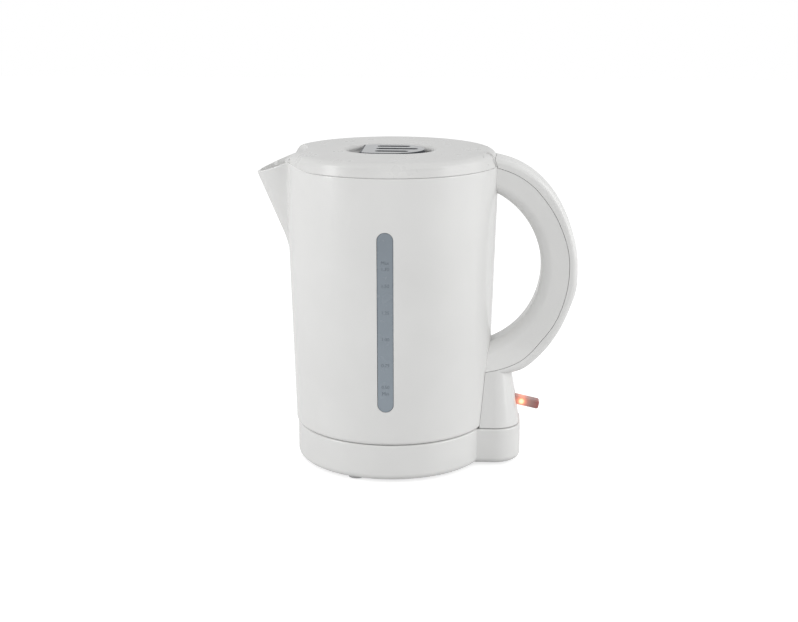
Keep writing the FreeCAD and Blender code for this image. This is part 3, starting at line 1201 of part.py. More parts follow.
def make_lid():
    skin = padded("lid_skin", "XY_Plane", lid_outline("0", "lip_start"), "lid_height", "lid_bottom")
    rounded(skin, "lid_round", flat_at(value("lid_top")))
    well = stadium("lid_well", "recess_radius + recess_wall", "recess_front", "recess_rear", "well_under",
                   "lid_top - well_under")
    recess = stadium("lid_recess", "recess_radius", "recess_front", "recess_rear", "recess_floor",
                     "recess_depth + 1")
    hollow = common(
        "lid_hollow", padded("lid_hollow_round", "XY_Plane", lid_outline("lid_wall", "lip_start - lid_wall"),
                             "lid_under - lid_bottom + 1", "lid_bottom - 1"),
        block("lid_hollow_box", ("-jug_rim_radius", "lid_rear_solid"), across("jug_rim_radius"),
              ("lid_bottom - 1", "lid_under")))
    bosses = [rod("lid_boss_%d" % index, "boss_radius", "plug_top", "lid_under + 1", x, y)
              for index, (x, y) in enumerate(lid_screw_places())]
    pilots = [rod("lid_pilot_%d" % index, "screw_radius + screw_play", "plug_bottom",
                  "plug_top + lid_screw_length", x, y) for index, (x, y) in enumerate(lid_screw_places())]
    stop = block("spring_stop_rib", ("spring_stop", "spring_stop + recess_wall"), across("leg_half_width"),
                 ("bolt_top + piece_play", "well_under"))
    leg_slot = block("leg_slot", ("leg_front - piece_play", "leg_rear + latch_travel + piece_play"),
                     across("leg_half_width + piece_play"), ("well_under - 1", "recess_floor + 1"))

    front_x = "hinge_x - bridge_radius"
    notch = padded("lid_notch", "XY_Plane", [
        (front_x, "-bridge_half_flat - bridge_gap"),
        ("hinge_x - bridge_end_radius / 2", "-bridge_half_width - bridge_gap"),
        ("handle_reach", "-bridge_half_width - bridge_gap"),
        ("handle_reach", "bridge_half_width + bridge_gap"),
        ("hinge_x - bridge_end_radius / 2", "bridge_half_width + bridge_gap"),
        (front_x, "bridge_half_flat + bridge_gap"),
    ], "lid_top - hinge_z + 1", "hinge_z")
    dish = cut("lid_dish", skin, cut("lid_room", hollow, well, scoop_form("scoop_shell", "recess_wall")))
    crown = cut("lid_crown", fuse("lid_shell", dish, *bosses, stop),
                recess, scoop_form("lid_scoop", "0"), leg_slot, notch,
                bridge_form("lid_bridge_room", "bridge_gap"), *pilots)
    arms = []
    for side, span in (("near", ("-arm_start - arm_thick", "-arm_start")),
                       ("far", ("arm_start", "arm_start + arm_thick"))):
        arms.append(block("arm_web_" + side, ("lid_rear_solid + 1", "hinge_x"), span,
                          ("hinge_z - arm_radius", "hinge_z + arm_rise")))
        arms.append(rod("arm_hub_" + side, "arm_radius", span[0], span[1],
                        x="hinge_x", z="hinge_z", along="y"))
    bore = rod("arm_bore", "hinge_pin + running_play", "-arm_start - arm_thick - 1",
               "arm_start + arm_thick + 1", x="hinge_x", z="hinge_z", along="y")
    node("lid_cover", cut("lid_cover_cut", fuse("lid_with_arms", crown, *arms), bore))

    shell = padded("plug_skin", "XY_Plane", lid_outline("jug_rim_radius - plug_radius", "plug_front"),
                   "lid_under - plug_bottom", "plug_bottom")
    inside = padded("plug_room", "XY_Plane",
                    lid_outline("jug_rim_radius - plug_radius + plug_wall", "plug_front - plug_wall"),
                    "lid_under - plug_top + 1", "plug_top")
    rear = block("plug_rear_cut", ("lid_rear_solid - piece_play", "handle_reach"), across("jug_rim_radius"),
                 ("plug_bottom - 1", "lid_top"))
    bolt_hole = block("plug_bolt_hole", ("-jug_rim_radius", "-plug_front + plug_wall * 2"),
                      across("leg_half_width + piece_play"),
                      ("bolt_under - piece_play", "bolt_top + piece_play"))
    holes = [rod("plug_hole_%d" % index, "screw_radius + screw_play", "plug_bottom - 1", "plug_top + 1", x, y)
             for index, (x, y) in enumerate(lid_screw_places())]
    scoop_room = scoop_form("plug_scoop_room", "recess_wall + piece_play")
    node("lid_inner", cut("lid_inner_cut", shell, inside, rear, bolt_hole, scoop_room, *holes))

    seal_low = "plug_bottom + seal_rise"
    seal_rear = block("seal_rear_cut", ("lid_rear_solid - piece_play", "handle_reach"),
                      across("jug_rim_radius"), ("plug_bottom", "lid_top"))
    band = cut("seal_band",
               padded("seal_outer", "XY_Plane",
                      lid_outline("jug_rim_radius - plug_radius - seal_reach", "plug_front + seal_reach"),
                      "seal_height", seal_low),
               padded("seal_inner", "XY_Plane",
                      lid_outline("jug_rim_radius - plug_radius - piece_play / 3",
                                  "plug_front + piece_play / 3"),
                      "seal_height + 2", seal_low + " - 1"))
    node("lid_seal", cut("lid_seal_cut", band, seal_rear))

    screws = [fuse(
        "lid_screw_%d" % index,
        rod("lid_screw_head_%d" % index, "screw_head_radius", "plug_bottom - screw_head_height",
            "plug_bottom", x, y),
        rod("lid_screw_shank_%d" % index, "screw_radius", "plug_bottom", "plug_bottom + lid_screw_length",
            x, y))
        for index, (x, y) in enumerate(lid_screw_places())]
    node("lid_screws", group("lid_screws_group", *screws))


def make_latch():
    radius = "(recess_radius - latch_side_gap)"
    plate = common(
        "latch_plate", stadium("latch_oval", radius, "recess_front", "latch_tip - " + radius,
                               "latch_under", "latch_thick"),
        block("latch_behind_front", ("latch_front", "handle_reach"), across("jug_rim_radius"),
              ("latch_under", "latch_top")))
    grooves = []
    for index, rear in ((-1, "groove_rear"), (0, "groove_mid_rear"), (1, "groove_rear")):
        middle = "groove_pitch * %d" % index
        grooves.append(block(
            "latch_groove_%d" % (index + 1), ("groove_front", rear),
            (middle + " - groove_width / 2", middle + " + groove_width / 2"),
            ("latch_top - groove_depth", "latch_top + 1")))
    leg = block("latch_leg", ("leg_front", "leg_rear"), across("leg_half_width"),
                ("bolt_top", "latch_under + 0.5"))
    node("latch_slide", cut("latch_slide_cut", fuse("latch_fuse", plate, leg), *grooves))
    node("latch_bolt", block("latch_bar", ("-bolt_reach", "leg_rear"), across("leg_half_width"),
                             ("bolt_under", "bolt_top")))
    put(nodes[-1], "axis_x - bolt_reach", "-leg_half_width", "bolt_under")

    # A compression spring along X: each quarter turn of the helix is one arc
    radius, wire = value("spring_radius"), value("spring_wire")
    turns, length = value("spring_turns"), value("spring_length - spring_wire * 2")
    start, level = value("leg_rear + spring_wire"), value("bolt_top + spring_rise")
    quarters = int(turns * 4)

    def helix(turn):
        angle = 2 * math.pi * turn
        return Vector(start + length * turn / turns,
                      radius * math.sin(angle), level + radius * math.cos(angle))

    edges = [Part.Arc(helix(index / 4), helix(index / 4 + 0.125), helix(index / 4 + 0.25)).toShape()
             for index in range(quarters)]
    path = Part.Wire(edges)
    direction = edges[0].tangentAt(edges[0].FirstParameter)
    section = Part.Wire(Part.Circle(helix(0), direction, wire).toShape())
    spring = doc.addObject("Part::Feature", "latch_spring_wire")
    spring.Shape = path.makePipeShell([section], True, False)
    print("spring: least gap between turns %.2f" % (length / turns - 2 * wire))
    node("latch_spring", spring)


def main():
    make_base()
    make_jug()
    make_filter()
    make_hinge()
    make_handle()
    make_rear_cover()
    make_element()
    make_control()
    make_lever()
    make_lid()
    make_latch()
    doc.recompute()
    for thing in doc.Objects:
        if {"Invalid", "Error"} & set(thing.State):
            raise RuntimeError("%s could not be made: %s" % (thing.Name, thing.State))
    for thing in nodes:
        if thing.Shape.isNull() or not thing.Shape.isValid():
            raise RuntimeError("%s has no valid shape" % thing.Label)
    os.makedirs("parts", exist_ok=True)
    for thing in nodes:
        thing.Shape.exportStep("parts/%s.step" % thing.Label)
        print("%-16s %d solid(s) %12.1f mm3" % (thing.Label, len(thing.Shape.Solids), thing.Shape.Volume))


main()
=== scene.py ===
"""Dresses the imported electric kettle: mouldings, gauge, slide, lever and finishes, and a plain stage."""

import json
import math

import bmesh
import bpy
import numpy as np
from bpy.props import FloatProperty, FloatVectorProperty, PointerProperty
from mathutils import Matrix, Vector


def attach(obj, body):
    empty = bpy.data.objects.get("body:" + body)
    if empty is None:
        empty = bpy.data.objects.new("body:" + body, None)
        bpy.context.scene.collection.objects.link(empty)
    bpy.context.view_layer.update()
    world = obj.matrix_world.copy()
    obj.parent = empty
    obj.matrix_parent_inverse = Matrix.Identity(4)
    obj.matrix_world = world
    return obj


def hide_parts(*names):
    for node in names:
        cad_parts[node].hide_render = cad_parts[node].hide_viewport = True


bl_info = {
    "name": "Electric kettle",
    "version": (1, 0, 0),
    "blender": (4, 5, 0),
    "location": "View3D > Sidebar > Kettle",
    "description": "Makes the mouldings and finishes of a jug kettle around its packed solids",
    "category": "Object",
}

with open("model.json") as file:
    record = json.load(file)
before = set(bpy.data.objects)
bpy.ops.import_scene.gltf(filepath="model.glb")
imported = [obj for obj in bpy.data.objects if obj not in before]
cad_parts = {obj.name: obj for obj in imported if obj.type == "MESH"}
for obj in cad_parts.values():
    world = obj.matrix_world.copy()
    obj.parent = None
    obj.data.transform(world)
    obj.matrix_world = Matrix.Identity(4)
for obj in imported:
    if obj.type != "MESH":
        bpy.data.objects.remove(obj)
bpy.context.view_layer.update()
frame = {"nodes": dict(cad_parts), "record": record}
FINISH = {entry["slot"]: entry["base_color"] for entry in frame["record"]["materials"]}

# Design places in millimetres about the jug's axis; AXIS is that axis in the row frame
AXIS = -17.79
JUG_LOW, JUG_RIM = 27.6, 210.2
FOOT_RADIUS, RIM_RADIUS, WALL = 68.2, 73.58, 2.6
SPOUT_AXIS, SPOUT_SLOPE, SPOUT_POINT, SPOUT_WALL, SPOUT_FALL = 70.0, 26.3 / 63.2, 147.0, 2.4, 3.0
LIP_START, LIP_CREST, LIP_RISE, LIP_FALL = 48.0, 70.5, 3.0, 9.2 / 23.22
GAUGE_HALF, GAUGE_LOW, GAUGE_HIGH, GAUGE_RECESS = 5.5, 51.4, 174.9, 0.25
BASE_LOW, BASE_TOP, BASE_RADIUS, BASE_WALL = 2.0, 27.2, 67.2, 3.3
LOBE_HALF, LOBE_REACH, LOBE_CORNER = 28.2, 91.4, 18.4
LID_LOW, LID_TOP, LID_FRONT, LID_CORNER, LID_LEAN, LID_SPREAD = 210.32, 220.0, 69.8, 9.5, 1.6, 1.28
SCOOP_LONG, SCOOP_HALF, SCOOP_DEEP = 11.0, 24.0, 5.5
HINGE_X, HINGE_Z, HINGE_GAP = 67.5, 214.1, 0.06
ARM_NEAR, ARM_FAR, PIN_RADIUS, PIN_HALF = 13.6, 18.6, 1.5, 20.5
RECESS_FRONT, RECESS_REAR, RECESS_RADIUS, RECESS_FLOOR = -8.0, 5.0, 23.4, 214.0
SLIDE_TOP = 219.95
GRIP_HUB, GRIP_RADIUS, GRIP_FOOT = (45.4, 139.0), 58.46, 66.5
GRIP_GAP, COVER_GAP, SEAM_GAP = 0.05, 0.22, 0.3
# Half width, reach and corner of the switch housing at its foot and its head
HOUSING_FOOT, HOUSING_HEAD = np.array([27.2, 90.4, 17.4]), np.array([20.85, 84.3, 12.0])
HOUSING_LOW, HOUSING_RISE = 27.6, 38.6
# Middle (y, z) of the element's head in the jug's wall
HEAD_PLACE = (0.0, 47.0)
# Side view (x, z) of the line between grip and outer strip, and of the strip's outer face
SEAM = ((63.0, 210.9), (71.6, 209.2), (78.4, 207.1), (85.6, 204.2), (93.5, 199.3), (99.0, 194.6),
        (103.6, 189.4), (110.8, 179.5), (118.1, 164.7), (122.3, 150.2), (123.2, 139.5), (122.3, 127.0),
        (118.2, 110.5), (112.2, 97.8), (105.2, 88.7), (99.1, 81.6), (93.0, 76.1), (88.0, 73.0),
        (81.8, 70.4), (75.2, 68.4), (63.0, 66.2))
BACK = ((63.0, 217.5), (72.0, 216.2), (80.5, 214.1), (89.6, 210.4), (96.6, 206.1), (103.6, 200.3),
        (110.7, 192.4), (117.9, 181.1), (124.9, 164.2), (128.2, 150.5), (129.1, 137.0), (128.2, 122.9),
        (125.3, 113.5), (119.3, 98.7), (112.6, 87.5), (105.8, 79.3), (99.3, 73.3), (92.5, 68.6),
        (86.0, 66.4), (79.0, 64.9), (63.0, 63.6))
LEVER_X, LEVER_Z, LEVER_TILT = 80.0, 43.6, math.radians(12.7)
# Words and heights of the gauge's marks
GAUGE_MARKS = (("Max", 154.6), ("1.70", 150.3), ("1.50", 138.9), ("1.25", 120.7), ("1.00", 102.4),
               ("0.75", 84.3), ("0.50", 69.1), ("Min", 64.6))
MARK_SIZE = 3.2
# Edges that turn by more than this stay sharp
CREASE = math.radians(32)
# The camera fitted to the photo: width and focal length in pixels, place and aim in millimetres
IMAGE_WIDTH, FOCAL_PIXELS = 798, 1483.3
CAMERA_PLACE, CAMERA_AIM = (68.06, -1016.3, 358.18), (4.77, 0.0, 104.72)


# Meshes

def row_frame(points):
    """Design millimetres to row-frame metres."""
    return (np.asarray(points, float).reshape(-1, 3) + (AXIS, 0, 0)) / 1000


def quads(rows, cols, rows_close=False, cols_close=False):
    """Corner numbers of the faces of a grid whose points are numbered row by row."""
    row = np.arange(rows if rows_close else rows - 1)[:, None]
    col = np.arange(cols if cols_close else cols - 1)[None, :]
    after_row, after_col = (row + 1) % rows, (col + 1) % cols
    corners = (row * cols + col, after_row * cols + col, after_row * cols + after_col, row * cols + after_col)
    return np.stack(np.broadcast_arrays(*corners), -1).reshape(-1, 4)


def rim_of(rows, cols):
    """Numbers of a grid's border points, in order round it."""
    grid = np.arange(rows * cols).reshape(rows, cols)
    return np.concatenate([grid[0, :-1], grid[:-1, -1], grid[-1, :0:-1], grid[:0:-1, 0]])


def placed(name, data):
    """A new object of the data, linked into the scene."""
    thing = bpy.data.objects.new(name, data)
    bpy.context.scene.collection.objects.link(thing)
    return thing


def merged(mesh, distance, slivers=False):
    """Merges a mesh's doubles, and then either drops its slivers or turns its faces outwards."""
    work = bmesh.new()
    work.from_mesh(mesh)
    bmesh.ops.remove_doubles(work, verts=work.verts, dist=distance)
    if slivers:
        bmesh.ops.dissolve_degenerate(work, edges=work.edges, dist=distance)
    else:
        bmesh.ops.recalc_face_normals(work, faces=work.faces)
    work.to_mesh(mesh)
    work.free()


def solid(name, points, faces):
    """A mesh object whose doubles are merged and whose faces point outwards."""
    mesh = bpy.data.meshes.new(name)
    mesh.from_pydata(row_frame(points).tolist(), [], [list(map(int, face)) for face in faces])
    merged(mesh, 2e-7)
    return placed(name, mesh)


def loops_solid(name, loops):
    """A closed skin through loops of equal length, each joined to the next, the first and last filled."""
    loops = np.asarray(loops, float)
    rows, cols = loops.shape[:2]
    ends = [np.arange(cols), (rows - 1) * cols + np.arange(cols)]
    return solid(name, loops, list(quads(rows, cols, cols_close=True)) + ends)


def slab(name, *grids):
    """A closed skin: the first and last grids whole, and between them a band through every grid's border."""
    grids = np.asarray(grids, float)
    rows, cols = grids.shape[1:3]
    rim = rim_of(rows, cols)
    count, inner = rows * cols, len(grids) - 2
    bands = [grids[0].reshape(-1, 3), grids[-1].reshape(-1, 3)]
    bands += [grid.reshape(-1, 3)[rim] for grid in grids[1:-1]]
    between = [2 * count + index * len(rim) + np.arange(len(rim)) for index in range(inner)]
    rings = np.stack([rim] + between + [rim + count])
    sides = rings.reshape(-1)[quads(len(rings), len(rim), cols_close=True)]
    faces = list(quads(rows, cols)) + list(quads(rows, cols) + count) + list(sides)
    return solid(name, np.concatenate(bands), faces)


def with_height(outline, height):
    """A loop of plan points (x, y) set at a height."""
    return np.insert(np.asarray(outline, float), 2, height, axis=1)


def pushed(name, outline, axis, low, high):
    """An outline carried straight along the axis that is square to it, between two places."""
    outline = np.asarray(outline, float)
    return loops_solid(name, [np.insert(outline, axis, place, axis=1) for place in (low, high)])


def whole_turn(steps):
    """Evenly spaced angles once round."""
    return np.linspace(0, 2 * np.pi, steps, endpoint=False)


def arc(turns):
    """Points of a circle of radius 1 at the angles."""
    return np.stack([np.cos(turns), np.sin(turns)], 1)


def both_sides(near):
    """A line of points (x, y), and on from its end its mirror image, taken backwards."""
    return np.concatenate([near, (near * (1, -1))[::-1]])


def carried(name, outline, profile):
    """A profile carried round an outline: each point (inset, height) is the outline moved in by the inset."""
    return loops_solid(name, [with_height(outline(inset), height) for inset, height in profile])


def turned(name, profile, steps=144, centre=(0.0, 0.0)):
    """A profile of (radius, height) turned about an upright axis."""
    ring = arc(whole_turn(steps))
    return loops_solid(name, [with_height(ring * radius + centre, height) for radius, height in profile])


def rod(name, axis, radius, low, high, middle, steps=64):
    """A round bar along one axis between two places."""
    ring = radius * arc(whole_turn(steps)) + middle
    return pushed(name, ring, axis, low, high)


def box(name, low, high):
    """A block between two corners."""
    (x0, y0, z0), (x1, y1, z1) = low, high
    return pushed(name, [(x0, y0), (x1, y0), (x1, y1), (x0, y1)], 2, z0, z1)


def solid_copy(name, node):
    """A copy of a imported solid's mesh with its doubles merged."""
    source = frame["nodes"][node]
    mesh = source.data.copy()
    mesh.transform(source.matrix_world)
    merged(mesh, 1e-6)
    return placed(name, mesh)


def joined(base, kind, *tools):
    """The base with each tool added, taken away or kept in common, exactly; the tools are used up."""
    for tool in tools:
        step = base.modifiers.new(kind, "BOOLEAN")
        step.operation = kind
        step.solver = "EXACT"
        step.object = tool
        graph = bpy.context.evaluated_depsgraph_get()
        mesh = bpy.data.meshes.new_from_object(base.evaluated_get(graph))
        if not mesh.polygons:
            raise RuntimeError("%s left nothing of %s" % (tool.name, base.name))
        base.modifiers.clear()
        old, base.data = base.data, mesh
        for used in (old, tool.data):
            bpy.data.meshes.remove(used)
    merged(base.data, 2e-6, slivers=True)
    return base


def finish_piece(thing, body, slot_name, finish, *nodes):
    """Smooths a piece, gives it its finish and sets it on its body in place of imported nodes."""
    thing.data.materials.clear()
    thing.data.materials.append(finish)
    thing.data.polygons.foreach_set("use_smooth", np.ones(len(thing.data.polygons), bool))
    thing.data.set_sharp_from_angle(angle=CREASE)
    flat = thing.modifiers.new("flat_faces", "WEIGHTED_NORMAL")
    flat.weight, flat.keep_sharp = 100, True
    thing.data.name = thing.name
    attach(thing, body)
    if nodes:
        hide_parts(*nodes)
    return thing


def quarter(radius, steps):
    """Points (across, up) of a quarter round of a radius, from flat to upright."""
    turn = np.radians(np.linspace(0, 90, steps))
    return np.stack([radius * (1 - np.sin(turn)), radius * (1 - np.cos(turn))], 1)


# Finishes

class Nodes:
    """A node tree of a material or of the world, with short ways to add and link nodes."""

    def __init__(self, name, owner=None, shader="Principled BSDF"):
        self.owner = owner or bpy.data.materials.new(name)
        self.owner.use_nodes = True
        self.tree = self.owner.node_tree
        self.shader = self.tree.nodes[shader]
        self.place = self.add("ShaderNodeTexCoord").outputs["Object"]

    def feed(self, socket, value):
        if isinstance(value, bpy.types.NodeSocket):
            self.tree.links.new(value, socket)
        else:
            socket.default_value = value

    def add(self, kind, links=None, **values):
        node = self.tree.nodes.new(kind)
        for key, value in values.items():
            setattr(node, key, value)
        for key, value in (links or {}).items():
            self.feed(node.inputs[key], value)
        return node

    def noise(self, scale, detail=3.0, stretch=None):
        place = self.place
        if stretch:
            place = self.add("ShaderNodeMapping", {"Vector": place, "Scale": stretch}).outputs["Vector"]
        return self.add("ShaderNodeTexNoise", {
            "Vector": place, "Scale": scale, "Detail": detail, "Roughness": 0.55}).outputs["Fac"]

    def spread(self, value, near, far, low=0.0, high=1.0):
        links = {"Value": value, "From Min": near, "From Max": far, "To Min": low, "To Max": high}
        return self.add("ShaderNodeMapRange", links).outputs["Result"]

    def between(self, noise, low, high):
        return self.spread(noise, 0.3, 0.7, low, high)

    def blend(self, factor, first, second):
        return self.add("ShaderNodeMix", {0: factor, 6: first, 7: second}, data_type="RGBA").outputs[2]

    def maths(self, operation, first, second):
        return self.add("ShaderNodeMath", {0: first, 1: second}, operation=operation).outputs[0]

    def vector(self, operation, first, second):
        return self.add("ShaderNodeVectorMath", {0: first, 1: second}, operation=operation).outputs

    def part(self, axis):
        return self.add("ShaderNodeSeparateXYZ", {"Vector": self.place}).outputs[axis]

    def set(self, **values):
        for key, value in values.items():
            self.feed(self.shader.inputs[key.replace("_", " ")], value)

    def bump(self, height, strength, distance):
        node = self.add("ShaderNodeBump", {"Height": height, "Strength": strength, "Distance": distance})
        self.set(Normal=node.outputs["Normal"])


def shade(colour, factor):
    """A colour made lighter or darker, as four numbers."""
    return tuple(min(part * factor, 1.0) for part in colour[:3]) + (1.0,)


def moulded(name, colour, gloss, grain, relief, tint=0.02):
    """Moulded plastic: faint cloudy tint, uneven gloss, and a fine grain in relief."""
    nodes = Nodes(name)
    cloud = nodes.noise(18.0, 2.0)
    clouded = nodes.blend(nodes.between(cloud, 0.0, 1.0), shade(colour, 1 - tint), shade(colour, 1 + tint))
    nodes.set(Base_Color=clouded, IOR=1.49,
              Roughness=nodes.between(nodes.noise(60.0, 4.0), gloss * 0.85, gloss * 1.15))
    nodes.bump(nodes.noise(grain, 2.0), 0.35, relief)
    return nodes.owner


def metal(name, colour, gloss, stretch, relief=2e-5):
    """Drawn or brushed metal: fine lines along one way, and uneven gloss."""
    nodes = Nodes(name)
    lines = nodes.noise(420.0, 3.0, stretch=stretch)
    nodes.set(
        Base_Color=nodes.blend(lines, shade(colour, 0.9), shade(colour, 1.06)), Metallic=1.0,
        Roughness=nodes.between(lines, gloss * 0.75, gloss * 1.25))
    nodes.bump(lines, 0.25, relief)
    return nodes.owner


def lid_finish(colour):
    """The lid's satin moulding, with painted shade that makes the floor of its recess near black."""
    material = moulded("lid_moulding", colour, 0.3, 1400.0, 4e-6)
    nodes = Nodes("", material)
    plan = nodes.vector("MULTIPLY", nodes.place, (1.0, 1.0, 0.0))[0]
    middle = nodes.vector("DISTANCE", plan, (AXIS / 1000, 0.0, 0.0))["Value"]
    # Painted shade: the recess floor within 40 mm of the jug's axis is coloured near black, where shadow
    # falls
    floor = nodes.maths("LESS_THAN", nodes.part("Z"), (RECESS_FLOOR + 1.0) / 1000)
    deep = nodes.maths("MULTIPLY", floor, nodes.maths("LESS_THAN", middle, 0.04))
    tone = nodes.shader.inputs["Base Color"].links[0].from_socket
    nodes.set(Base_Color=nodes.blend(deep, tone, shade(colour, 0.06)))
    return material


def rubbery(name, colour):
    """Soft rubber: fine pitted skin with hardly any gloss."""
    nodes = Nodes(name)
    pits = nodes.noise(1500.0, 4.0)
    nodes.set(Base_Color=nodes.blend(pits, shade(colour, 0.85), shade(colour, 1.1)),
              Roughness=nodes.between(pits, 0.62, 0.85), Specular_IOR_Level=0.3)
    nodes.bump(pits, 0.4, 4e-5)
    return nodes.owner


def gauge_finish(colour):
    """Slate-grey translucent gauge: darker towards its upper half, with a clear gloss skin."""
    nodes = Nodes("gauge_plastic")
    rise = nodes.spread(nodes.part("Z"), GAUGE_LOW / 1000, GAUGE_HIGH / 1000, 1.0, 0.0)
    cloud = nodes.maths("ADD", nodes.maths("MULTIPLY", nodes.noise(55.0, 3.0), 0.15), rise)
    nodes.set(Base_Color=nodes.blend(cloud, shade(colour, 0.92), shade(colour, 1.12)),
              Roughness=nodes.between(nodes.noise(140.0), 0.2, 0.3), IOR=1.5)
    nodes.bump(nodes.noise(700.0, 2.0), 0.2, 1e-5)
    return nodes.owner


def slide_finish(colour, groove_shade):
    """Satin silver paint, with painted shade in the grooves and on the front edge, where it turns near black
    and loses its metal.
    """
    nodes = Nodes("slide_paint")
    # Painted shade: the groove floors and the front edge are coloured near black and not metallic
    deep = nodes.maths("LESS_THAN", nodes.part("Z"), (SLIDE_TOP - 0.08) / 1000)
    front = nodes.maths("LESS_THAN", nodes.part("X"), (AXIS - 19.6) / 1000)
    dark = nodes.maths("MAXIMUM", deep, front)
    flake = nodes.noise(2600.0, 2.0)
    paint = nodes.blend(nodes.between(flake, 0.0, 1.0), shade(colour, 1.0), shade(colour, 1.2))
    nodes.set(Base_Color=nodes.blend(dark, paint, shade(groove_shade, 1.0)),
              Metallic=nodes.maths("MULTIPLY", nodes.maths("SUBTRACT", 1.0, dark), 0.55),
              Roughness=nodes.between(nodes.noise(300.0), 0.32, 0.44))
    nodes.bump(flake, 0.15, 1e-5)
    return nodes.owner


def lever_finish(colour, glow):
    """Smoky clear plastic with a painted glow around the lamp inside it, smoky further out and red at its
    tip.
    """
    nodes = Nodes("lever_plastic")
    side = nodes.vector("MULTIPLY", nodes.place, (1.0, 0.0, 1.0))[0]

    def distance(along, near, far):
        spot = (LEVER_X + AXIS + along * math.cos(LEVER_TILT), 0.0, LEVER_Z - along * math.sin(LEVER_TILT))
        away = nodes.vector("DISTANCE", side, tuple(part / 1000 for part in spot))["Value"]
        return nodes.spread(away, near / 1000, far / 1000)

    # Painted glow: emission round the lamp's place, white-yellow in the middle, fading through orange and red
    # to nothing
    painted_glow = nodes.add("ShaderNodeValToRGB", {"Fac": distance(12.6, 0.0, 9.0)})
    stops = painted_glow.color_ramp.elements
    stops[0].position, stops[0].color = 0.0, (1.0, 0.86, 0.62, 1.0)
    stops[1].position, stops[1].color = 1.0, (0.0, 0.0, 0.0, 1.0)
    for place, tone in ((0.16, (1.0, 0.65, 0.28, 1.0)), (0.27, (0.68, 0.15, 0.06, 1.0)),
                        (0.5, shade(glow, 0.27)), (0.8, (0.03, 0.004, 0.003, 1.0))):
        stops.new(place).color = tone
    smoke = nodes.noise(160.0, 3.0)
    haze = nodes.blend(smoke, shade(colour, 1.1), shade(colour, 1.5))
    nodes.set(Base_Color=nodes.blend(distance(0.0, 18.0, 25.0), haze, (0.5, 0.14, 0.13, 1.0)),
              Roughness=nodes.between(nodes.noise(500.0), 0.08, 0.2), IOR=1.5,
              Transmission_Weight=0.25, Emission_Color=painted_glow.outputs["Color"], Emission_Strength=1.0)
    nodes.bump(smoke, 0.15, 2e-5)
    return nodes.owner


def lamp_finish(glow):
    """A lit neon lamp: glass that glows, in flecks from the lamp's colour to orange."""
    nodes = Nodes("lamp_glow")
    flicker = nodes.noise(400.0, 2.0)
    nodes.set(Base_Color=shade(glow, 1.0), Roughness=nodes.between(flicker, 0.08, 0.16),
              Emission_Color=nodes.blend(flicker, shade(glow, 0.9), (1.0, 0.62, 0.35, 1.0)),
              Emission_Strength=1.0)
    return nodes.owner


# Forms of the pieces

def jug_radius(height):
    """The jug's outer radius: a straight taper from the foot to the rim, carried on past both."""
    rise = np.asarray(height, float) - JUG_LOW
    return FOOT_RADIUS + (RIM_RADIUS - FOOT_RADIUS) * rise / (JUG_RIM - JUG_LOW)


def lip_height(x):
    """Height of the rim over a place: level, a soft rise to the lid's front, a straight fall to the tip."""
    share = np.clip((-LIP_START - x) / (LIP_CREST - LIP_START), 0.0, 1.0)
    return JUG_RIM + LIP_RISE * share ** 2 * (3 - 2 * share) - LIP_FALL * np.maximum(0.0, -LIP_CREST - x)


def jug_and_spout(away, height, blend):
    """Outer radius in a direction and at a height.

    The direction is measured from the spout. The spout is an upright cone on its own axis, seen from the
    jug's axis as r = D cos q + sqrt(rho^2 - D^2 sin^2 q); past its edge and below its point that falls away
    steeply. The larger of jug and spout counts, rounded over by the blend where the two are alike.
    """
    cone = SPOUT_SLOPE * (height - SPOUT_POINT)
    side = np.abs(SPOUT_AXIS * np.sin(away))
    ahead = np.where(np.cos(away) > 0, SPOUT_AXIS * np.cos(away), -FOOT_RADIUS)
    reach = np.sqrt(np.maximum(np.maximum(cone, 0.0) ** 2 - side ** 2, 0.0))
    spout = ahead + reach - SPOUT_FALL * np.maximum(side - cone, 0.0)
    jug = jug_radius(height)
    near = np.maximum(blend - np.abs(jug - spout), 0.0)
    return np.maximum(jug, spout) + near ** 2 / (4 * blend)


def stadium(half, low, high, steps=24):
    """A slot outline (across, along) with round ends."""
    turn = np.linspace(0, np.pi, steps)
    top = np.stack([half * np.cos(turn), high - half + half * np.sin(turn)], 1)
    return np.concatenate([top, np.stack([-top[:, 0], low + high - top[:, 1]], 1)])


def lid_outline(inset):
    """The lid in plan: a circle with a straight front and round corners, moved in square to its edge."""
    centre = np.array([-(LID_FRONT - LID_CORNER), math.sqrt(
        (RIM_RADIUS - LID_CORNER) ** 2 - (LID_FRONT - LID_CORNER) ** 2)])
    far = math.atan2(centre[1], centre[0])
    wide = np.linspace(-far, far, 181)
    tight = np.linspace(far, np.pi, 10)[1:]
    turns = np.concatenate([wide, tight, (2 * np.pi - tight)[::-1]])
    hubs = np.concatenate([np.zeros((len(wide), 2)), np.tile(centre, (len(tight), 1)),
                           np.tile(centre * (1, -1), (len(tight), 1))])
    radii = np.concatenate([np.full(len(wide), RIM_RADIUS), np.full(2 * len(tight), LID_CORNER)]) - inset
    return hubs + radii[:, None] * arc(turns)


def lid_crown(edge):
    """Profile (inset, height) of the lid's upper round, wider than deep, from the top of its leaning side."""
    return [(LID_LEAN + LID_SPREAD * inset, LID_TOP - drop) for inset, drop in quarter(edge, 16)[::-1]]


def lid_form(name, edge, below=0.0):
    """The lid's whole form: its outline carried up a small round, a side that leans in, and the upper round.

    The form can start further below, and is then upright there.
    """
    foot = [(inset, LID_LOW + rise) for inset, rise in quarter(0.4, 4)]
    if below:
        foot = [(0.0, LID_LOW - below), foot[-1]]
    return carried(name, lid_outline, foot + lid_crown(edge))


def hinge_bar(name, gap):
    """A bar about the hinge pin, even in its middle and tapering to both ends, grown by a gap."""
    (end, even), (thin, thick) = (30.5 + gap, 11.0 + gap), (6.2 + gap, 10.2 + gap)
    ring, place = arc(whole_turn(96)), (HINGE_X, HINGE_Z)
    return loops_solid(name, [np.insert(radius * ring + place, 1, along, axis=1) for along, radius in (
        (-end, thin), (-even, thick), (even, thick), (end, thin))])


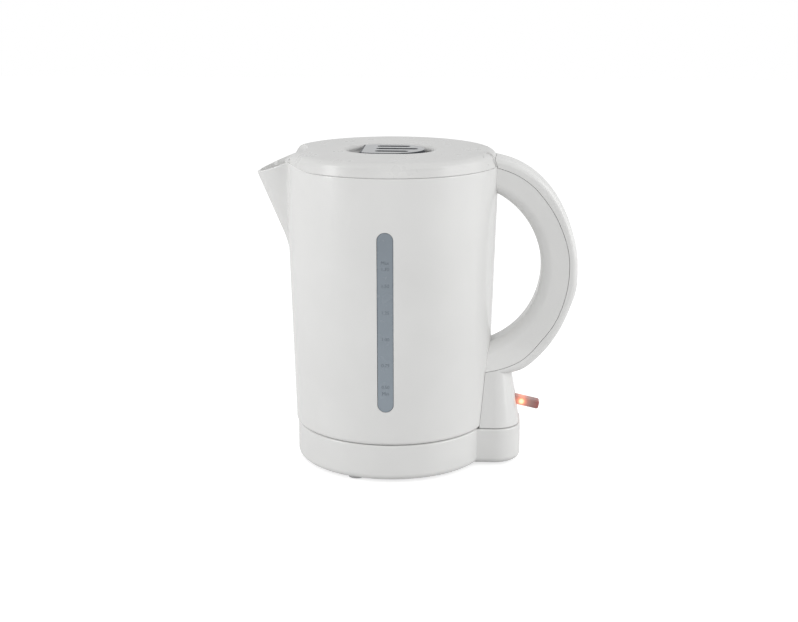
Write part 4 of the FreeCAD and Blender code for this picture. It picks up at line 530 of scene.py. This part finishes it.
def front_scoop(name, grown, flare):
    """Half an egg sunk into the lid's front edge, and a flared lip.

    Its rings are a sin t by b sin t at the depth c cos t.
    """
    sweep = np.radians(np.linspace(6, 80, 14))[:, None]
    egg = np.concatenate([(SCOOP_LONG + grown) * np.sin(sweep), (SCOOP_HALF + grown) * np.sin(sweep),
                          LID_TOP - (SCOOP_DEEP + grown) * np.cos(sweep)], 1)
    bend = np.radians(np.linspace(0, 90, 7))[1:, None]
    out = egg[-1, :2] + flare * (1 - np.cos(bend))
    lip = np.concatenate([out, LID_TOP - (LID_TOP - egg[-1, 2]) * (1 - np.sin(bend))], 1)
    rings = np.concatenate([egg, lip, lip[-1:] + (0, 0, 2)])
    around = arc(whole_turn(96))
    return loops_solid(name, [with_height(around * ring[:2] - (LID_FRONT, 0), ring[2]) for ring in rings])


def base_outline(inset):
    """The base in plan: a circle, and a lobe with round rear corners that meets it in an inner corner."""
    radius, half = BASE_RADIUS - inset, LOBE_HALF - inset
    root = math.sqrt(radius ** 2 - half ** 2)
    start = math.atan2(half, root)
    circle = np.linspace(start, 2 * np.pi - start, 160)
    hub = np.array([LOBE_REACH - LOBE_CORNER, LOBE_HALF - LOBE_CORNER])
    corner = np.linspace(0, np.pi / 2, 16)
    ring = (LOBE_CORNER - inset) * arc(corner)
    side = np.linspace(root, hub[0], 8)[1:-1]
    near = np.concatenate([np.stack([side, np.full(len(side), -half)], 1),
                           (ring * (1, -1))[::-1] + hub * (1, -1)])
    return np.concatenate([radius * arc(circle), both_sides(near)])


def handle_half_width(height):
    """Half the handle's width at a height: even above, and widening to its foot along a circle's arc."""
    even, spread, rise = 13.0, 7.5, 38.5
    sweep = (rise ** 2 + spread ** 2) / (2 * spread)
    below = np.clip(GRIP_FOOT + rise - height, 0.0, rise)
    return even + sweep - np.sqrt(sweep ** 2 - below ** 2)


def smooth_through(points, steps):
    """A smooth side-view curve through points, evenly spaced along it.

    Each coordinate is a cubic spline over the chord length: its bend runs straight from point to point, is
    chosen so that the slopes on both sides of a point agree, and is nothing at the two ends.
    """
    points = np.asarray(points, float)
    gaps = np.hypot(*np.diff(points, axis=0).T)
    reach = np.concatenate([[0.0], np.cumsum(gaps)])
    inner = np.arange(1, len(points) - 1)
    lines, turns = np.eye(len(points)), np.zeros(points.shape)
    lines[inner, inner - 1], lines[inner, inner + 1] = gaps[:-1], gaps[1:]
    lines[inner, inner] = 2 * (gaps[:-1] + gaps[1:])
    turns[inner] = 6 * np.diff(np.diff(points, axis=0) / gaps[:, None], axis=0)
    bend = np.linalg.solve(lines, turns)
    where = np.linspace(0, reach[-1], steps)
    index = np.clip(np.searchsorted(reach, where, "right") - 1, 0, len(gaps) - 1)
    after, width = (where - reach[index])[:, None], gaps[index][:, None]
    before = width - after
    return ((bend[index] * before ** 3 + bend[index + 1] * after ** 3) / (6 * width)
            + (points[index] / width - bend[index] * width / 6) * before
            + (points[index + 1] / width - bend[index + 1] * width / 6) * after)


def moved_out(curve, gap):
    """A side-view curve moved square to itself, away from the jug."""
    way = np.gradient(curve, axis=0)
    return curve + gap * np.stack([-way[:, 1], way[:, 0]], 1) / np.hypot(*way.T)[:, None]


def round_arc(hub, radius, root, steps):
    """A side-view arc (x, z) that starts and ends at the root."""
    start = math.acos((root - hub[0]) / radius)
    turn = np.linspace(start, -start, steps)
    return hub + radius * arc(turn)


def handle_slab(name, inner, outer, across, edge, inside):
    """A solid between two side-view curves, as wide as the handle; across gives the shares between them.

    The edges along the inner or the outer curve are rounded: within the radius of the curve the half width is
    less by edge - sqrt(edge^2 - (edge - distance)^2).
    """
    points = inner[None] + (outer - inner)[None] * across[:, None, None]
    depth = np.hypot(*(points - (inner if inside else outer)[None]).transpose(2, 0, 1))
    cut = np.clip(edge - depth, 0.0, edge)
    half = handle_half_width(points[..., 1]) - edge + np.sqrt(edge ** 2 - cut ** 2)
    sides = [np.stack([points[..., 0], sign * half, points[..., 1]], -1) for sign in (-1, 1)]
    return slab(name, *sides)


def side_prism(name, near, far, half):
    """A solid between two side-view curves, of an even half width."""
    points = np.stack([near, far])
    return slab(name, *[np.insert(points, 1, y, axis=-1) for y in (-half, half)])


def jug_room(name, gap, edge):
    """The space of the jug and of the lid on its rim, grown by a gap."""
    lid = [(RIM_RADIUS - inset + gap, height) for inset, height in lid_crown(edge)]
    return turned(name, [(jug_radius(JUG_LOW - 8) + gap, JUG_LOW - 8), (RIM_RADIUS + gap, JUG_RIM),
                         (RIM_RADIUS + gap, LID_LOW)] + lid, steps=240)


# Operators

class Piece(bpy.types.Operator):
    """Common part of the kettle's operators"""
    bl_idname = "kettle.piece"
    bl_label = "Piece"
    bl_options = {"INTERNAL"}

    def make(self, look):
        raise NotImplementedError

    def execute(self, context):
        self.make(context.scene.kettle_look)
        return {"FINISHED"}


class KETTLE_OT_jug(Piece):
    """Jug with its spout blended in, hollow, with the openings for filter, gauge and element"""
    bl_idname = "kettle.jug"
    bl_label = "Jug"

    def make(self, look):
        blend, edge = look.spout_blend * 1000, look.rim_edge * 1000
        beside = np.radians(np.arange(30.0, 330.0, 1.5))
        ahead = np.radians(np.arange(-30.0, 30.0, 0.6))
        away = np.concatenate([ahead, beside])
        top = np.full(len(away), JUG_RIM)
        for _ in range(12):
            top = lip_height(-jug_and_spout(away, top, blend) * np.cos(away))
        foot = 2.5
        draw, low = quarter(foot, 7)[:-1].T + [[0], [JUG_LOW]]
        share = np.linspace(0, 1, 84)
        middle = JUG_LOW + foot + share[:, None] * (top - edge - JUG_LOW - foot)
        turn = np.radians(np.linspace(0, 90, 6))[1:]
        high = top - edge + edge * np.sin(turn)[:, None]
        heights = np.concatenate([np.broadcast_to(low[:, None], (len(low), len(away))), middle, high])
        shrink = np.concatenate([draw, np.zeros(len(middle)), edge * (1 - np.cos(turn))])[:, None]
        radius = jug_and_spout(away, heights, blend) - shrink
        loops = np.stack([-radius * np.cos(away), -radius * np.sin(away), heights], -1)
        lid_side = []
        for part in np.linspace(1, 0.05, 16)[1:]:
            ring = loops[-1] * (part, part, 1)
            ring[:, 2] = lip_height(ring[:, 0])
            lid_side.append(ring)
        jug = loops_solid("jug_body", np.concatenate([loops, lid_side]))

        floor, bend = JUG_LOW + WALL, 6.0
        room = [(jug_radius(floor) - WALL - bend * (1 - math.cos(turn)), floor + bend - bend * math.sin(turn))
                for turn in np.radians(np.linspace(90, 0, 8))]
        heights = np.linspace(floor + 12, JUG_RIM + 6, 12)
        cavity = turned("jug_cavity", room + [(float(jug_radius(z)) - WALL, z) for z in heights], steps=240)
        boss = rod("jug_boss", 0, 17.0, 62.5, 70.0, HEAD_PLACE)
        foot_z = SPOUT_POINT + (SPOUT_WALL + 1) / SPOUT_SLOPE
        channel = turned("spout_channel", [
            (SPOUT_SLOPE * (z - SPOUT_POINT) - SPOUT_WALL, z) for z in np.linspace(foot_z, JUG_RIM + 6, 14)],
            steps=180, centre=(-SPOUT_AXIS, 0.0))
        heights = np.linspace(140, JUG_RIM + 8, 12)
        skin = turned("jug_skin", [(float(jug_radius(z)), z) for z in heights], steps=240)
        channel = joined(channel, "DIFFERENCE", skin)
        sieve = [(4.3, 165.7), (17.2, 197.3), (-17.2, 197.3), (-4.3, 165.7)]
        sieve_hole = pushed("sieve_hole", sieve, 0, -75.0, -65.0)
        keeper = box("keeper_slot", (-75.2, -5.3, 202.4), (-64.8, 5.3, 207.1))
        gauge_slot = pushed("gauge_slot", stadium(GAUGE_HALF, GAUGE_LOW, GAUGE_HIGH), 1, -78.0, -60.0)
        head_hole = rod("head_hole", 0, 13.5, 60.0, 72.0, HEAD_PLACE)
        port = rod("steam_port", 0, 3.4, 60.0, 80.0, (0.0, JUG_RIM - 14.2), steps=32)
        joined(jug, "DIFFERENCE", cavity)
        joined(jug, "UNION", boss)
        joined(jug, "DIFFERENCE", channel, sieve_hole, keeper, gauge_slot, head_hole, port)
        gloss = moulded("gloss_moulding", look.white, 0.12, 900.0, 4e-6)
        finish_piece(jug, "jug", "white_gloss", gloss, "jug_shell")


class KETTLE_OT_gauge(Piece):
    """Water gauge set into the jug, and its numbers"""
    bl_idname = "kettle.gauge"
    bl_label = "Water gauge"

    def make(self, look):
        # A slot-shaped grid: lines along the slot, each as long as the round ends leave it
        across, along = np.linspace(-1, 1, 25), np.linspace(-1, 1, 61)
        middle, straight = (GAUGE_LOW + GAUGE_HIGH) / 2, (GAUGE_HIGH - GAUGE_LOW) / 2 - GAUGE_HALF

        def face(half, depth):
            x = half * np.sin(across * np.pi / 2)
            z = middle + along[None] * (straight + np.sqrt(half ** 2 - x ** 2))[:, None]
            x = np.broadcast_to(x[:, None], z.shape)
            y = -np.sqrt((jug_radius(z) - depth) ** 2 - x ** 2)
            return np.stack([x, y, z], -1)

        half, lap, back = GAUGE_HALF - 0.15, GAUGE_HALF + 3.0, WALL + 0.15
        pane = slab("gauge_pane", face(half - 0.4, GAUGE_RECESS), face(half - 0.12, GAUGE_RECESS + 0.12),
                    face(half, GAUGE_RECESS + 0.4), face(half, back), face(lap, back), face(lap, back + 1.5))
        finish_piece(pane, "jug", "gauge_grey", gauge_finish(look.gauge), "water_window")

        plan, faces = np.empty((0, 2)), []
        for words, height in GAUGE_MARKS:
            curve = bpy.data.curves.new("gauge_text", "FONT")
            curve.body, curve.size, curve.align_x, curve.align_y = words, MARK_SIZE, "CENTER", "CENTER"
            holder = placed("gauge_text", curve)
            graph = bpy.context.evaluated_depsgraph_get()
            flat = bpy.data.meshes.new_from_object(holder.evaluated_get(graph))
            points = np.empty(len(flat.vertices) * 3)
            flat.vertices.foreach_get("co", points)
            faces += [tuple(number + len(plan) for number in side.vertices) for side in flat.polygons]
            plan = np.concatenate([plan, points.reshape(-1, 3)[:, :2] + (0, height)])
            bpy.data.objects.remove(holder)
            bpy.data.meshes.remove(flat)
        lift = 0.03
        y = -np.sqrt((jug_radius(plan[:, 1]) - GAUGE_RECESS + lift) ** 2 - plan[:, 0] ** 2)
        mesh = bpy.data.meshes.new("gauge_numbers")
        mesh.from_pydata(row_frame(np.stack([plan[:, 0], y, plan[:, 1]], 1)).tolist(), [], faces)
        numbers = placed("gauge_numbers", mesh)
        solidify = numbers.modifiers.new("print", "SOLIDIFY")
        solidify.thickness, solidify.offset = 0.00005, -1.0
        ink = moulded("gauge_print", look.ink, 0.5, 1200.0, 4e-6, tint=0.08)
        finish_piece(numbers, "jug", "gauge_grey", ink)


class KETTLE_OT_base(Piece):
    """Power base's shell with its seat, and the openings for connector and gland"""
    bl_idname = "kettle.base"
    bl_label = "Base"

    def make(self, look):
        low_edge, top_edge = look.base_edge * 1000, 1.2
        skirt = [(inset, BASE_LOW + rise) for inset, rise in quarter(low_edge, 9)]
        crown = [(inset, BASE_TOP - drop) for inset, drop in quarter(top_edge, 6)[::-1]]
        shell = carried("base_body", base_outline, skirt + crown)
        room = carried("base_room", base_outline, [(BASE_WALL, BASE_LOW - 1), (BASE_WALL, BASE_TOP - 2.5)])
        joined(shell, "DIFFERENCE", room)
        seat = turned("base_seat", [(49.0, 25.5), (50.0, 25.5), (50.0, 27.3), (49.7, 27.6), (40.0, 27.6)])
        joined(shell, "UNION", seat)
        socket = box("socket_hole", (70.5, -13.8, 22.0), (81.5, 13.8, 30.0))
        gland = rod("gland_hole", 1, 5.3, 22.0, 34.0, (67.4, 11.5))
        joined(shell, "DIFFERENCE", socket, gland)
        gloss = moulded("base_moulding", look.white, 0.22, 900.0, 6e-6)
        finish_piece(shell, "power_base", "white_gloss", gloss, "base_shell")


class KETTLE_OT_handle(Piece):
    """Grip, and the outer strip with the switch housing"""
    bl_idname = "kettle.handle"
    bl_label = "Handle"

    def make(self, look):
        across = 1 - np.cos(np.linspace(0, np.pi / 2, 34))
        inner = round_arc(GRIP_HUB, GRIP_RADIUS, SEAM[0][0], 161)
        seam, back = smooth_through(SEAM, 161), smooth_through(BACK, 161)
        grip = handle_slab("grip_body", inner, seam, across, look.grip_edge * 1000, True)
        joined(grip, "DIFFERENCE", jug_room("grip_jug_room", GRIP_GAP, look.lid_edge * 1000))
        gloss = moulded("grip_moulding", look.white, 0.2, 900.0, 6e-6)
        finish_piece(grip, "jug", "white_gloss", gloss, "handle_grip")
        near = moved_out(seam, SEAM_GAP)
        cover = handle_slab("rear_cover_body", near, back, 1 - across[::-1], look.strip_edge * 1000, False)

        def housing(name, wall, low, high):
            loops, taper = [], HOUSING_HEAD - HOUSING_FOOT
            rounds = [(inset, low + rise) for inset, rise in quarter(0.8, 5)]
            for inset, z in rounds + [(0.0, z) for z in np.linspace(low, high, 9)[1:]]:
                half, reach, corner = HOUSING_FOOT + taper * (z - HOUSING_LOW) / HOUSING_RISE - (wall + inset)
                ring = corner * arc(np.linspace(0, np.pi / 2, 14)) + (reach - corner, half - corner)
                loops.append(with_height(both_sides(np.concatenate([[(49.4, half)], ring[::-1]])), z))
            return loops_solid(name, loops)

        tower = joined(housing("housing_body", 0.0, HOUSING_LOW, 71.0), "DIFFERENCE",
                       side_prism("grip_room", inner, near, 40.0))
        # A tongue on the strip closes the middle of the slot between it and the grip, against light
        tongue = side_prism("strip_tongue", moved_out(seam, 0.06), moved_out(seam, 1.0), 8.0)
        joined(cover, "UNION", tower, tongue)
        joined(cover, "DIFFERENCE", jug_room("cover_jug_room", COVER_GAP, look.lid_edge * 1000),
               housing("housing_room", 2.2, 26.0, 64.0))
        joined(cover, "DIFFERENCE", pushed("lever_slot", stadium(4.6, 36.8, 51.0), 0, 80.0, 99.0))
        finish_piece(cover, "jug", "white_gloss", gloss, "rear_cover")


class KETTLE_OT_lid(Piece):
    """Lid with its soft rim, oval recess with a finger scoop, and hinge arms"""
    bl_idname = "kettle.lid"
    bl_label = "Lid"

    def make(self, look):
        edge = look.lid_edge * 1000
        lid = lid_form("lid_body", edge)

        def oval(grown, front=RECESS_FRONT):
            end = (RECESS_RADIUS + grown) * arc(np.linspace(-np.pi / 2, np.pi / 2, 40))
            return np.concatenate([end + (RECESS_REAR, 0), -end + (front, 0)])

        # The recess opens in a soft round at the top, and its front end slopes in to make the finger scoop
        lip = look.recess_lip * 1000
        loops = []
        for share in np.linspace(0, 1, 12):
            scoop = 8.0 * (1 - math.sqrt(1 - (1 - share) ** 2))
            height = RECESS_FLOOR + share * (LID_TOP - lip - RECESS_FLOOR)
            loops.append(with_height(oval(0.0, RECESS_FRONT + scoop), height))
        for inset, drop in quarter(lip, 8)[-2::-1]:
            loops.append(with_height(oval(inset), LID_TOP - drop))
        loops.append(with_height(oval(lip), LID_TOP + 2))
        recess = loops_solid("lid_recess", loops)

        hollow = loops_solid("lid_hollow", [with_height(np.minimum(lid_outline(inset), (49.5, 200.0)), z)
                                            for inset, z in ((2.5, LID_LOW - 1), (6.0, LID_TOP - 2.5))])
        skin = 1.8
        well = pushed("lid_well", oval(skin), 2, 212.2, 222.0)
        joined(hollow, "DIFFERENCE", well, front_scoop("scoop_shell", skin, 0.0))
        leg_slot = box("leg_slot", (-8.3, -5.3, 205.0), (11.8, 5.3, 216.0))
        along = np.linspace(-95.0, -40.0, 111)
        rim = np.stack([along, lip_height(along) + LID_LOW - JUG_RIM], 1)
        rim_room = side_prism("rim_room", rim - (0, 9), rim, 60.0)
        joined(lid, "DIFFERENCE", hollow, recess, leg_slot, front_scoop("lid_scoop", 0.0, 1.3), rim_room)

        joined(lid, "DIFFERENCE", hinge_bar("bridge_room", HINGE_GAP))
        bridge = joined(lid_form("hinge_bridge", edge), "INTERSECT", hinge_bar("bridge_bar", 0.0))
        place = (HINGE_X, HINGE_Z)
        for sign in (-1, 1):
            low, high = sorted((sign * ARM_NEAR, sign * ARM_FAR))
            web = box("arm_web", (50.5, low, HINGE_Z - 3.4), (HINGE_X, high, HINGE_Z + 2.6))
            part = box("arm_part", (50.5, low, 214.0), (65.0, high, 221.0))
            top = joined(lid_form("arm_top", edge), "INTERSECT", part)
            joined(lid, "UNION", web, rod("arm_hub", 1, 3.4, low, high, place), top)
            slot = box("arm_slot", (40.0, low - HINGE_GAP, 205.0), (80.0, high + HINGE_GAP, 222.0))
            joined(bridge, "DIFFERENCE", slot)
        joined(lid, "DIFFERENCE", rod("arm_bore", 1, PIN_RADIUS + 0.05, -20.0, 20.0, place, steps=32))
        # The bridge's bore is closed at both ends, so that only the arms show the pin
        ends = [rod("bore_end", 1, 1.9, low, low + 7.0, place, steps=32) for low in (-27.0, 20.0)]
        bracket = joined(solid_copy("bracket_copy", "hinge_bracket"), "UNION", *ends)
        joined(bridge, "UNION", joined(bracket, "INTERSECT", lid_form("bridge_limit", edge, 20.0)))
        reach = PIN_HALF + 0.2
        joined(bridge, "DIFFERENCE", rod("pin_bore", 1, PIN_RADIUS + 0.1, -reach, reach, place, steps=32))
        satin = moulded("satin_moulding", look.satin, 0.3, 1400.0, 4e-6)
        finish_piece(lid, "lid", "white_satin", lid_finish(look.satin), "lid_cover")
        finish_piece(bridge, "jug", "white_satin", satin, "hinge_bracket")
        pin = rod("pin_body", 1, PIN_RADIUS, -PIN_HALF, PIN_HALF, place, steps=48)
        steel = metal("pin_steel", FINISH["steel"], 0.26, (1.0, 6.0, 1.0))
        finish_piece(pin, "jug", "steel", steel, "hinge_pin")


class KETTLE_OT_slide(Piece):
    """Lid release slide with its three grooves and its leg"""
    bl_idname = "kettle.slide"
    bl_label = "Release slide"

    def make(self, look):
        front, tip, radius, low, top = -21.0, 22.6, 22.6, 216.0, SLIDE_TOP

        def outline(inset):
            rear = (radius - inset) * arc(np.linspace(-np.pi / 2, np.pi / 2, 40)) + (tip - radius, 0)
            start = math.pi - math.acos((RECESS_FRONT - front) / radius)
            upper = (radius - inset) * arc(np.linspace(np.pi / 2, start, 14)) + (RECESS_FRONT, 0)
            upper[:, 0] = np.maximum(upper[:, 0], front + inset)
            return np.concatenate([rear, both_sides(upper)])

        plate = carried("slide_plate", outline, [
            (0.3, low), (0.0, low + 0.3), (0.0, top - 0.25), (0.08, top - 0.08), (0.25, top)])
        half, start, pitch, depth = 2.9, -11.0, 12.5, 2.2
        for index, rear in ((-1, 12.0), (0, 18.0), (1, 12.0)):
            ring = stadium(half, start, rear, steps=12)[:, ::-1] + (0, pitch * index)
            joined(plate, "DIFFERENCE", pushed("slide_groove", ring, 2, top - depth, top + 1))
        joined(plate, "UNION", box("slide_leg", (-8.0, -5.0, 206.5), (6.0, 5.0, low + 0.5)))
        finish_piece(plate, "latch", "silver_paint", slide_finish(look.silver, look.groove_shade), "latch_slide")


class KETTLE_OT_lever(Piece):
    """Smoky switch lever with its lamp pocket"""
    bl_idname = "kettle.lever"
    bl_label = "Switch lever"

    def make(self, look):
        length, thick, width, corner, edge = 25.2, 5.8, 8.0, 1.4, 0.7
        half = thick / 2

        def outline(inset):
            root = (half - inset) * arc(np.radians(np.linspace(90, 270, 16)))
            bend = (corner - inset) * arc(np.radians(np.linspace(-90, 0, 7)))
            return np.concatenate([root, both_sides(bend + (length - corner, corner - half))])

        rounds = quarter(edge, 5)
        profile = [(inset, -width / 2 + rise) for inset, rise in rounds]
        profile += [(inset, width / 2 - rise) for inset, rise in rounds[::-1]]
        cos, sin = math.cos(LEVER_TILT), math.sin(LEVER_TILT)
        tilt = np.array([[cos, -sin], [sin, cos]])

        def tipped(plan, y):
            return np.insert(plan @ tilt + (LEVER_X, LEVER_Z), 1, y, axis=1)

        lever = loops_solid("lever_body", [tipped(outline(inset), y) for inset, y in profile])
        pocket = np.array([(5.3, -5.0), (14.9, -5.0), (14.9, 2.1), (5.3, 2.1)])
        cut = loops_solid("lamp_pocket", [tipped(pocket, y) for y in (-2.4, 2.4)])
        joined(lever, "DIFFERENCE", cut, rod("lever_bore", 1, 1.55, -6.0, 6.0, (LEVER_X, LEVER_Z), steps=32))
        finish_piece(lever, "switch", "smoke_clear", lever_finish(look.smoke, look.glow), "switch_lever")


class KETTLE_OT_finishes(Piece):
    """Finishes of the solids that stay as they are"""
    bl_idname = "kettle.finishes"
    bl_label = "Finishes"

    def make(self, look):
        steel = metal("bright_steel", FINISH["steel"], 0.26, (1.0, 1.0, 6.0))
        brass = metal("bare_brass", FINISH["brass"], 0.3, (1.0, 6.0, 1.0))
        bimetal = metal("bimetal_sheet", FINISH["bimetal"], 0.36, (6.0, 1.0, 1.0))
        wire = metal("spring_wire", FINISH["spring_steel"], 0.3, (6.0, 1.0, 1.0))
        satin = moulded("inner_moulding", look.satin, 0.45, 1400.0, 1.4e-5)
        black = moulded("black_moulding", FINISH["black_matte"], 0.5, 1600.0, 1.6e-5, tint=0.15)
        rubber = rubbery("gland_rubber", FINISH["rubber_grey"])
        silicone = rubbery("pale_silicone", FINISH["silicone"])
        lamp = lamp_finish(look.glow)
        kinds = {
            steel: "base_screws filter_mesh handle_screws element_head head_screws heating_element "
                   "lever_pin lid_screws",
            brass: "socket_contacts inlet_pins",
            bimetal: "boil_dry_disc steam_disc",
            wire: "latch_spring",
            satin: "base_plate filter_frame lid_inner latch_bolt",
            black: "base_socket control_body",
            rubber: "cord_gland",
            silicone: "base_feet steam_tube head_gasket lid_seal",
            lamp: "neon_lamp",
        }
        for finish, names in kinds.items():
            for name in names.split():
                thing = frame["nodes"][name]
                thing.data.materials.clear()
                thing.data.materials.append(finish)


class KETTLE_OT_stage(Piece):
    """Pale floor, soft light and the camera"""
    bl_idname = "kettle.stage"
    bl_label = "Stage"

    def make(self, look):
        scene = bpy.context.scene
        scene.view_settings.view_transform = "Standard"
        half = 3.0
        mesh = bpy.data.meshes.new("floor")
        corners = [(-half, -half, 0), (half, -half, 0), (half, half, 0), (-half, half, 0)]
        mesh.from_pydata(corners, [], [(0, 1, 2, 3)])
        floor = placed("floor", mesh)
        nodes = Nodes("pale_floor")
        paper = nodes.noise(3.0, 2.0)
        nodes.set(Base_Color=nodes.blend(paper, (0.55, 0.55, 0.55, 1), (0.58, 0.58, 0.58, 1)), Roughness=0.9,
                  Specular_IOR_Level=0.0)
        seen = nodes.add("ShaderNodeLightPath").outputs
        mirrored = nodes.maths("MAXIMUM", seen["Is Glossy Ray"], seen["Is Transmission Ray"])
        direct = nodes.maths("ADD", nodes.maths("MULTIPLY", seen["Is Camera Ray"], 0.72),
                             nodes.maths("MULTIPLY", mirrored, 0.4))
        nodes.set(Emission_Color=(1, 1, 1, 1), Emission_Strength=direct)
        mesh.materials.append(nodes.owner)

        # Mirrored and direct rays see a brighter room than the one that lights the kettle
        scene.world = bpy.data.worlds.new("soft_room")
        room = Nodes("", scene.world, "Background")
        seen = room.add("ShaderNodeLightPath").outputs
        mirrored = room.maths("MAXIMUM", seen["Is Glossy Ray"], seen["Is Transmission Ray"])
        level = look.room_light
        for ray, strength in ((mirrored, 0.75), (seen["Is Camera Ray"], 1.0)):
            level = room.spread(ray, 0.0, 1.0, level, strength)
        room.set(Strength=level, Color=(1, 1, 1, 1))

        for name, place, size, share in (
                ("left_strip", (-1.0, -0.45, 0.45), (0.22, 0.9), 1.0),
                ("right_strip", (1.0, -0.4, 0.45), (0.22, 0.9), 0.32),
                ("right_panel", (1.3, -0.1, 0.45), (1.2, 1.2), 1.5),
                ("front_panel", (0.05, -1.4, 0.7), (0.8, 0.8), 0.5)):
            lamp = bpy.data.lights.new(name, "AREA")
            lamp.shape, lamp.energy = "RECTANGLE", look.key_power * share
            lamp.size, lamp.size_y = size
            self.point(placed(name, lamp), Vector(place), Vector((0, 0, 0.1)))

        camera = bpy.data.cameras.new("camera")
        camera.sensor_fit, camera.sensor_width = "HORIZONTAL", 36.0
        camera.lens = FOCAL_PIXELS * camera.sensor_width / IMAGE_WIDTH
        scene.camera = placed("camera", camera)
        self.point(scene.camera, *(Vector(spot) for spot in row_frame((CAMERA_PLACE, CAMERA_AIM))))

    def point(self, thing, place, aim):
        thing.location = place
        thing.rotation_euler = (aim - place).to_track_quat("-Z", "Y").to_euler()


# Panel and registration

def length(name, description, default, **limits):
    """A length that a user can change."""
    return FloatProperty(name=name, description=description, default=default, unit="LENGTH", **limits)


def colour(name, description, default):
    """A colour that a user can change."""
    return FloatVectorProperty(name=name, description=description, default=default[:3], subtype="COLOR",
                               size=3, min=0.0, max=1.0)


class KettleLook(bpy.types.PropertyGroup):
    """Sizes and colours of the kettle that a user would change"""
    spout_blend: length("Spout blend", "Soft join of spout and jug", 0.004, min=0.0005)
    rim_edge: length("Rim edge", "Round of the jug's rim and pouring lip", 0.0008, min=0.0001)
    base_edge: length("Base edge", "Round of the base's lower edge", 0.0045, min=0.0005)
    grip_edge: length("Grip edge", "Round of the grip's inner edges", 0.008, min=0.0005)
    strip_edge: length("Strip edge", "Round of the outer strip's edges", 0.004, min=0.0005)
    recess_lip: length("Recess lip", "Round of the lid recess's upper edge", 0.0035, min=0.0002, max=0.004)
    lid_edge: length("Lid edge", "Round of the lid's upper edge", 0.005, min=0.0005, max=0.006)
    white: colour("White", "Gloss mouldings", FINISH["white_gloss"])
    satin: colour("Satin white", "Lid and inner mouldings", FINISH["white_satin"])
    gauge: colour("Gauge", "Water gauge", FINISH["gauge_grey"])
    ink: colour("Print", "Gauge's numbers", (0.16, 0.19, 0.22))
    silver: colour("Silver", "Release slide", FINISH["silver_paint"])
    # Colour of the painted shade in the slide's grooves and on its front edge
    groove_shade: colour("Grooves", "Grooves of the release slide", (0.02, 0.025, 0.035))
    smoke: colour("Smoke", "Switch lever", FINISH["smoke_clear"])
    glow: colour("Glow", "Neon lamp", (0.85, 0.1, 0.04))
    key_power: FloatProperty(name="Key power", description="Power of the left strip in watts",
                             default=4.3, min=0.0)
    room_light: FloatProperty(name="Room light", description="Strength of the light from all round",
                              default=0.62, min=0.0, max=2.0)


OPERATORS = (KETTLE_OT_jug, KETTLE_OT_gauge, KETTLE_OT_base, KETTLE_OT_handle, KETTLE_OT_lid, KETTLE_OT_slide,
             KETTLE_OT_lever, KETTLE_OT_finishes, KETTLE_OT_stage)


class KETTLE_PT_panel(bpy.types.Panel):
    """Kettle's sizes, colours and makers"""
    bl_label = "Kettle"
    bl_idname = "KETTLE_PT_panel"
    bl_space_type = "VIEW_3D"
    bl_region_type = "UI"
    bl_category = "Kettle"

    def draw(self, context):
        look = context.scene.kettle_look
        for name in KettleLook.__annotations__:
            self.layout.prop(look, name)
        for maker in OPERATORS:
            self.layout.operator(maker.bl_idname)


CLASSES = (KettleLook,) + OPERATORS + (KETTLE_PT_panel,)


def register():
    for kind in CLASSES:
        bpy.utils.register_class(kind)
    bpy.types.Scene.kettle_look = PointerProperty(type=KettleLook)


def unregister():
    del bpy.types.Scene.kettle_look
    for kind in reversed(CLASSES):
        bpy.utils.unregister_class(kind)


def main():
    register()
    for maker in OPERATORS:
        group, name = maker.bl_idname.split(".")
        getattr(getattr(bpy.ops, group), name)()


if __name__ == "__main__":
    main()
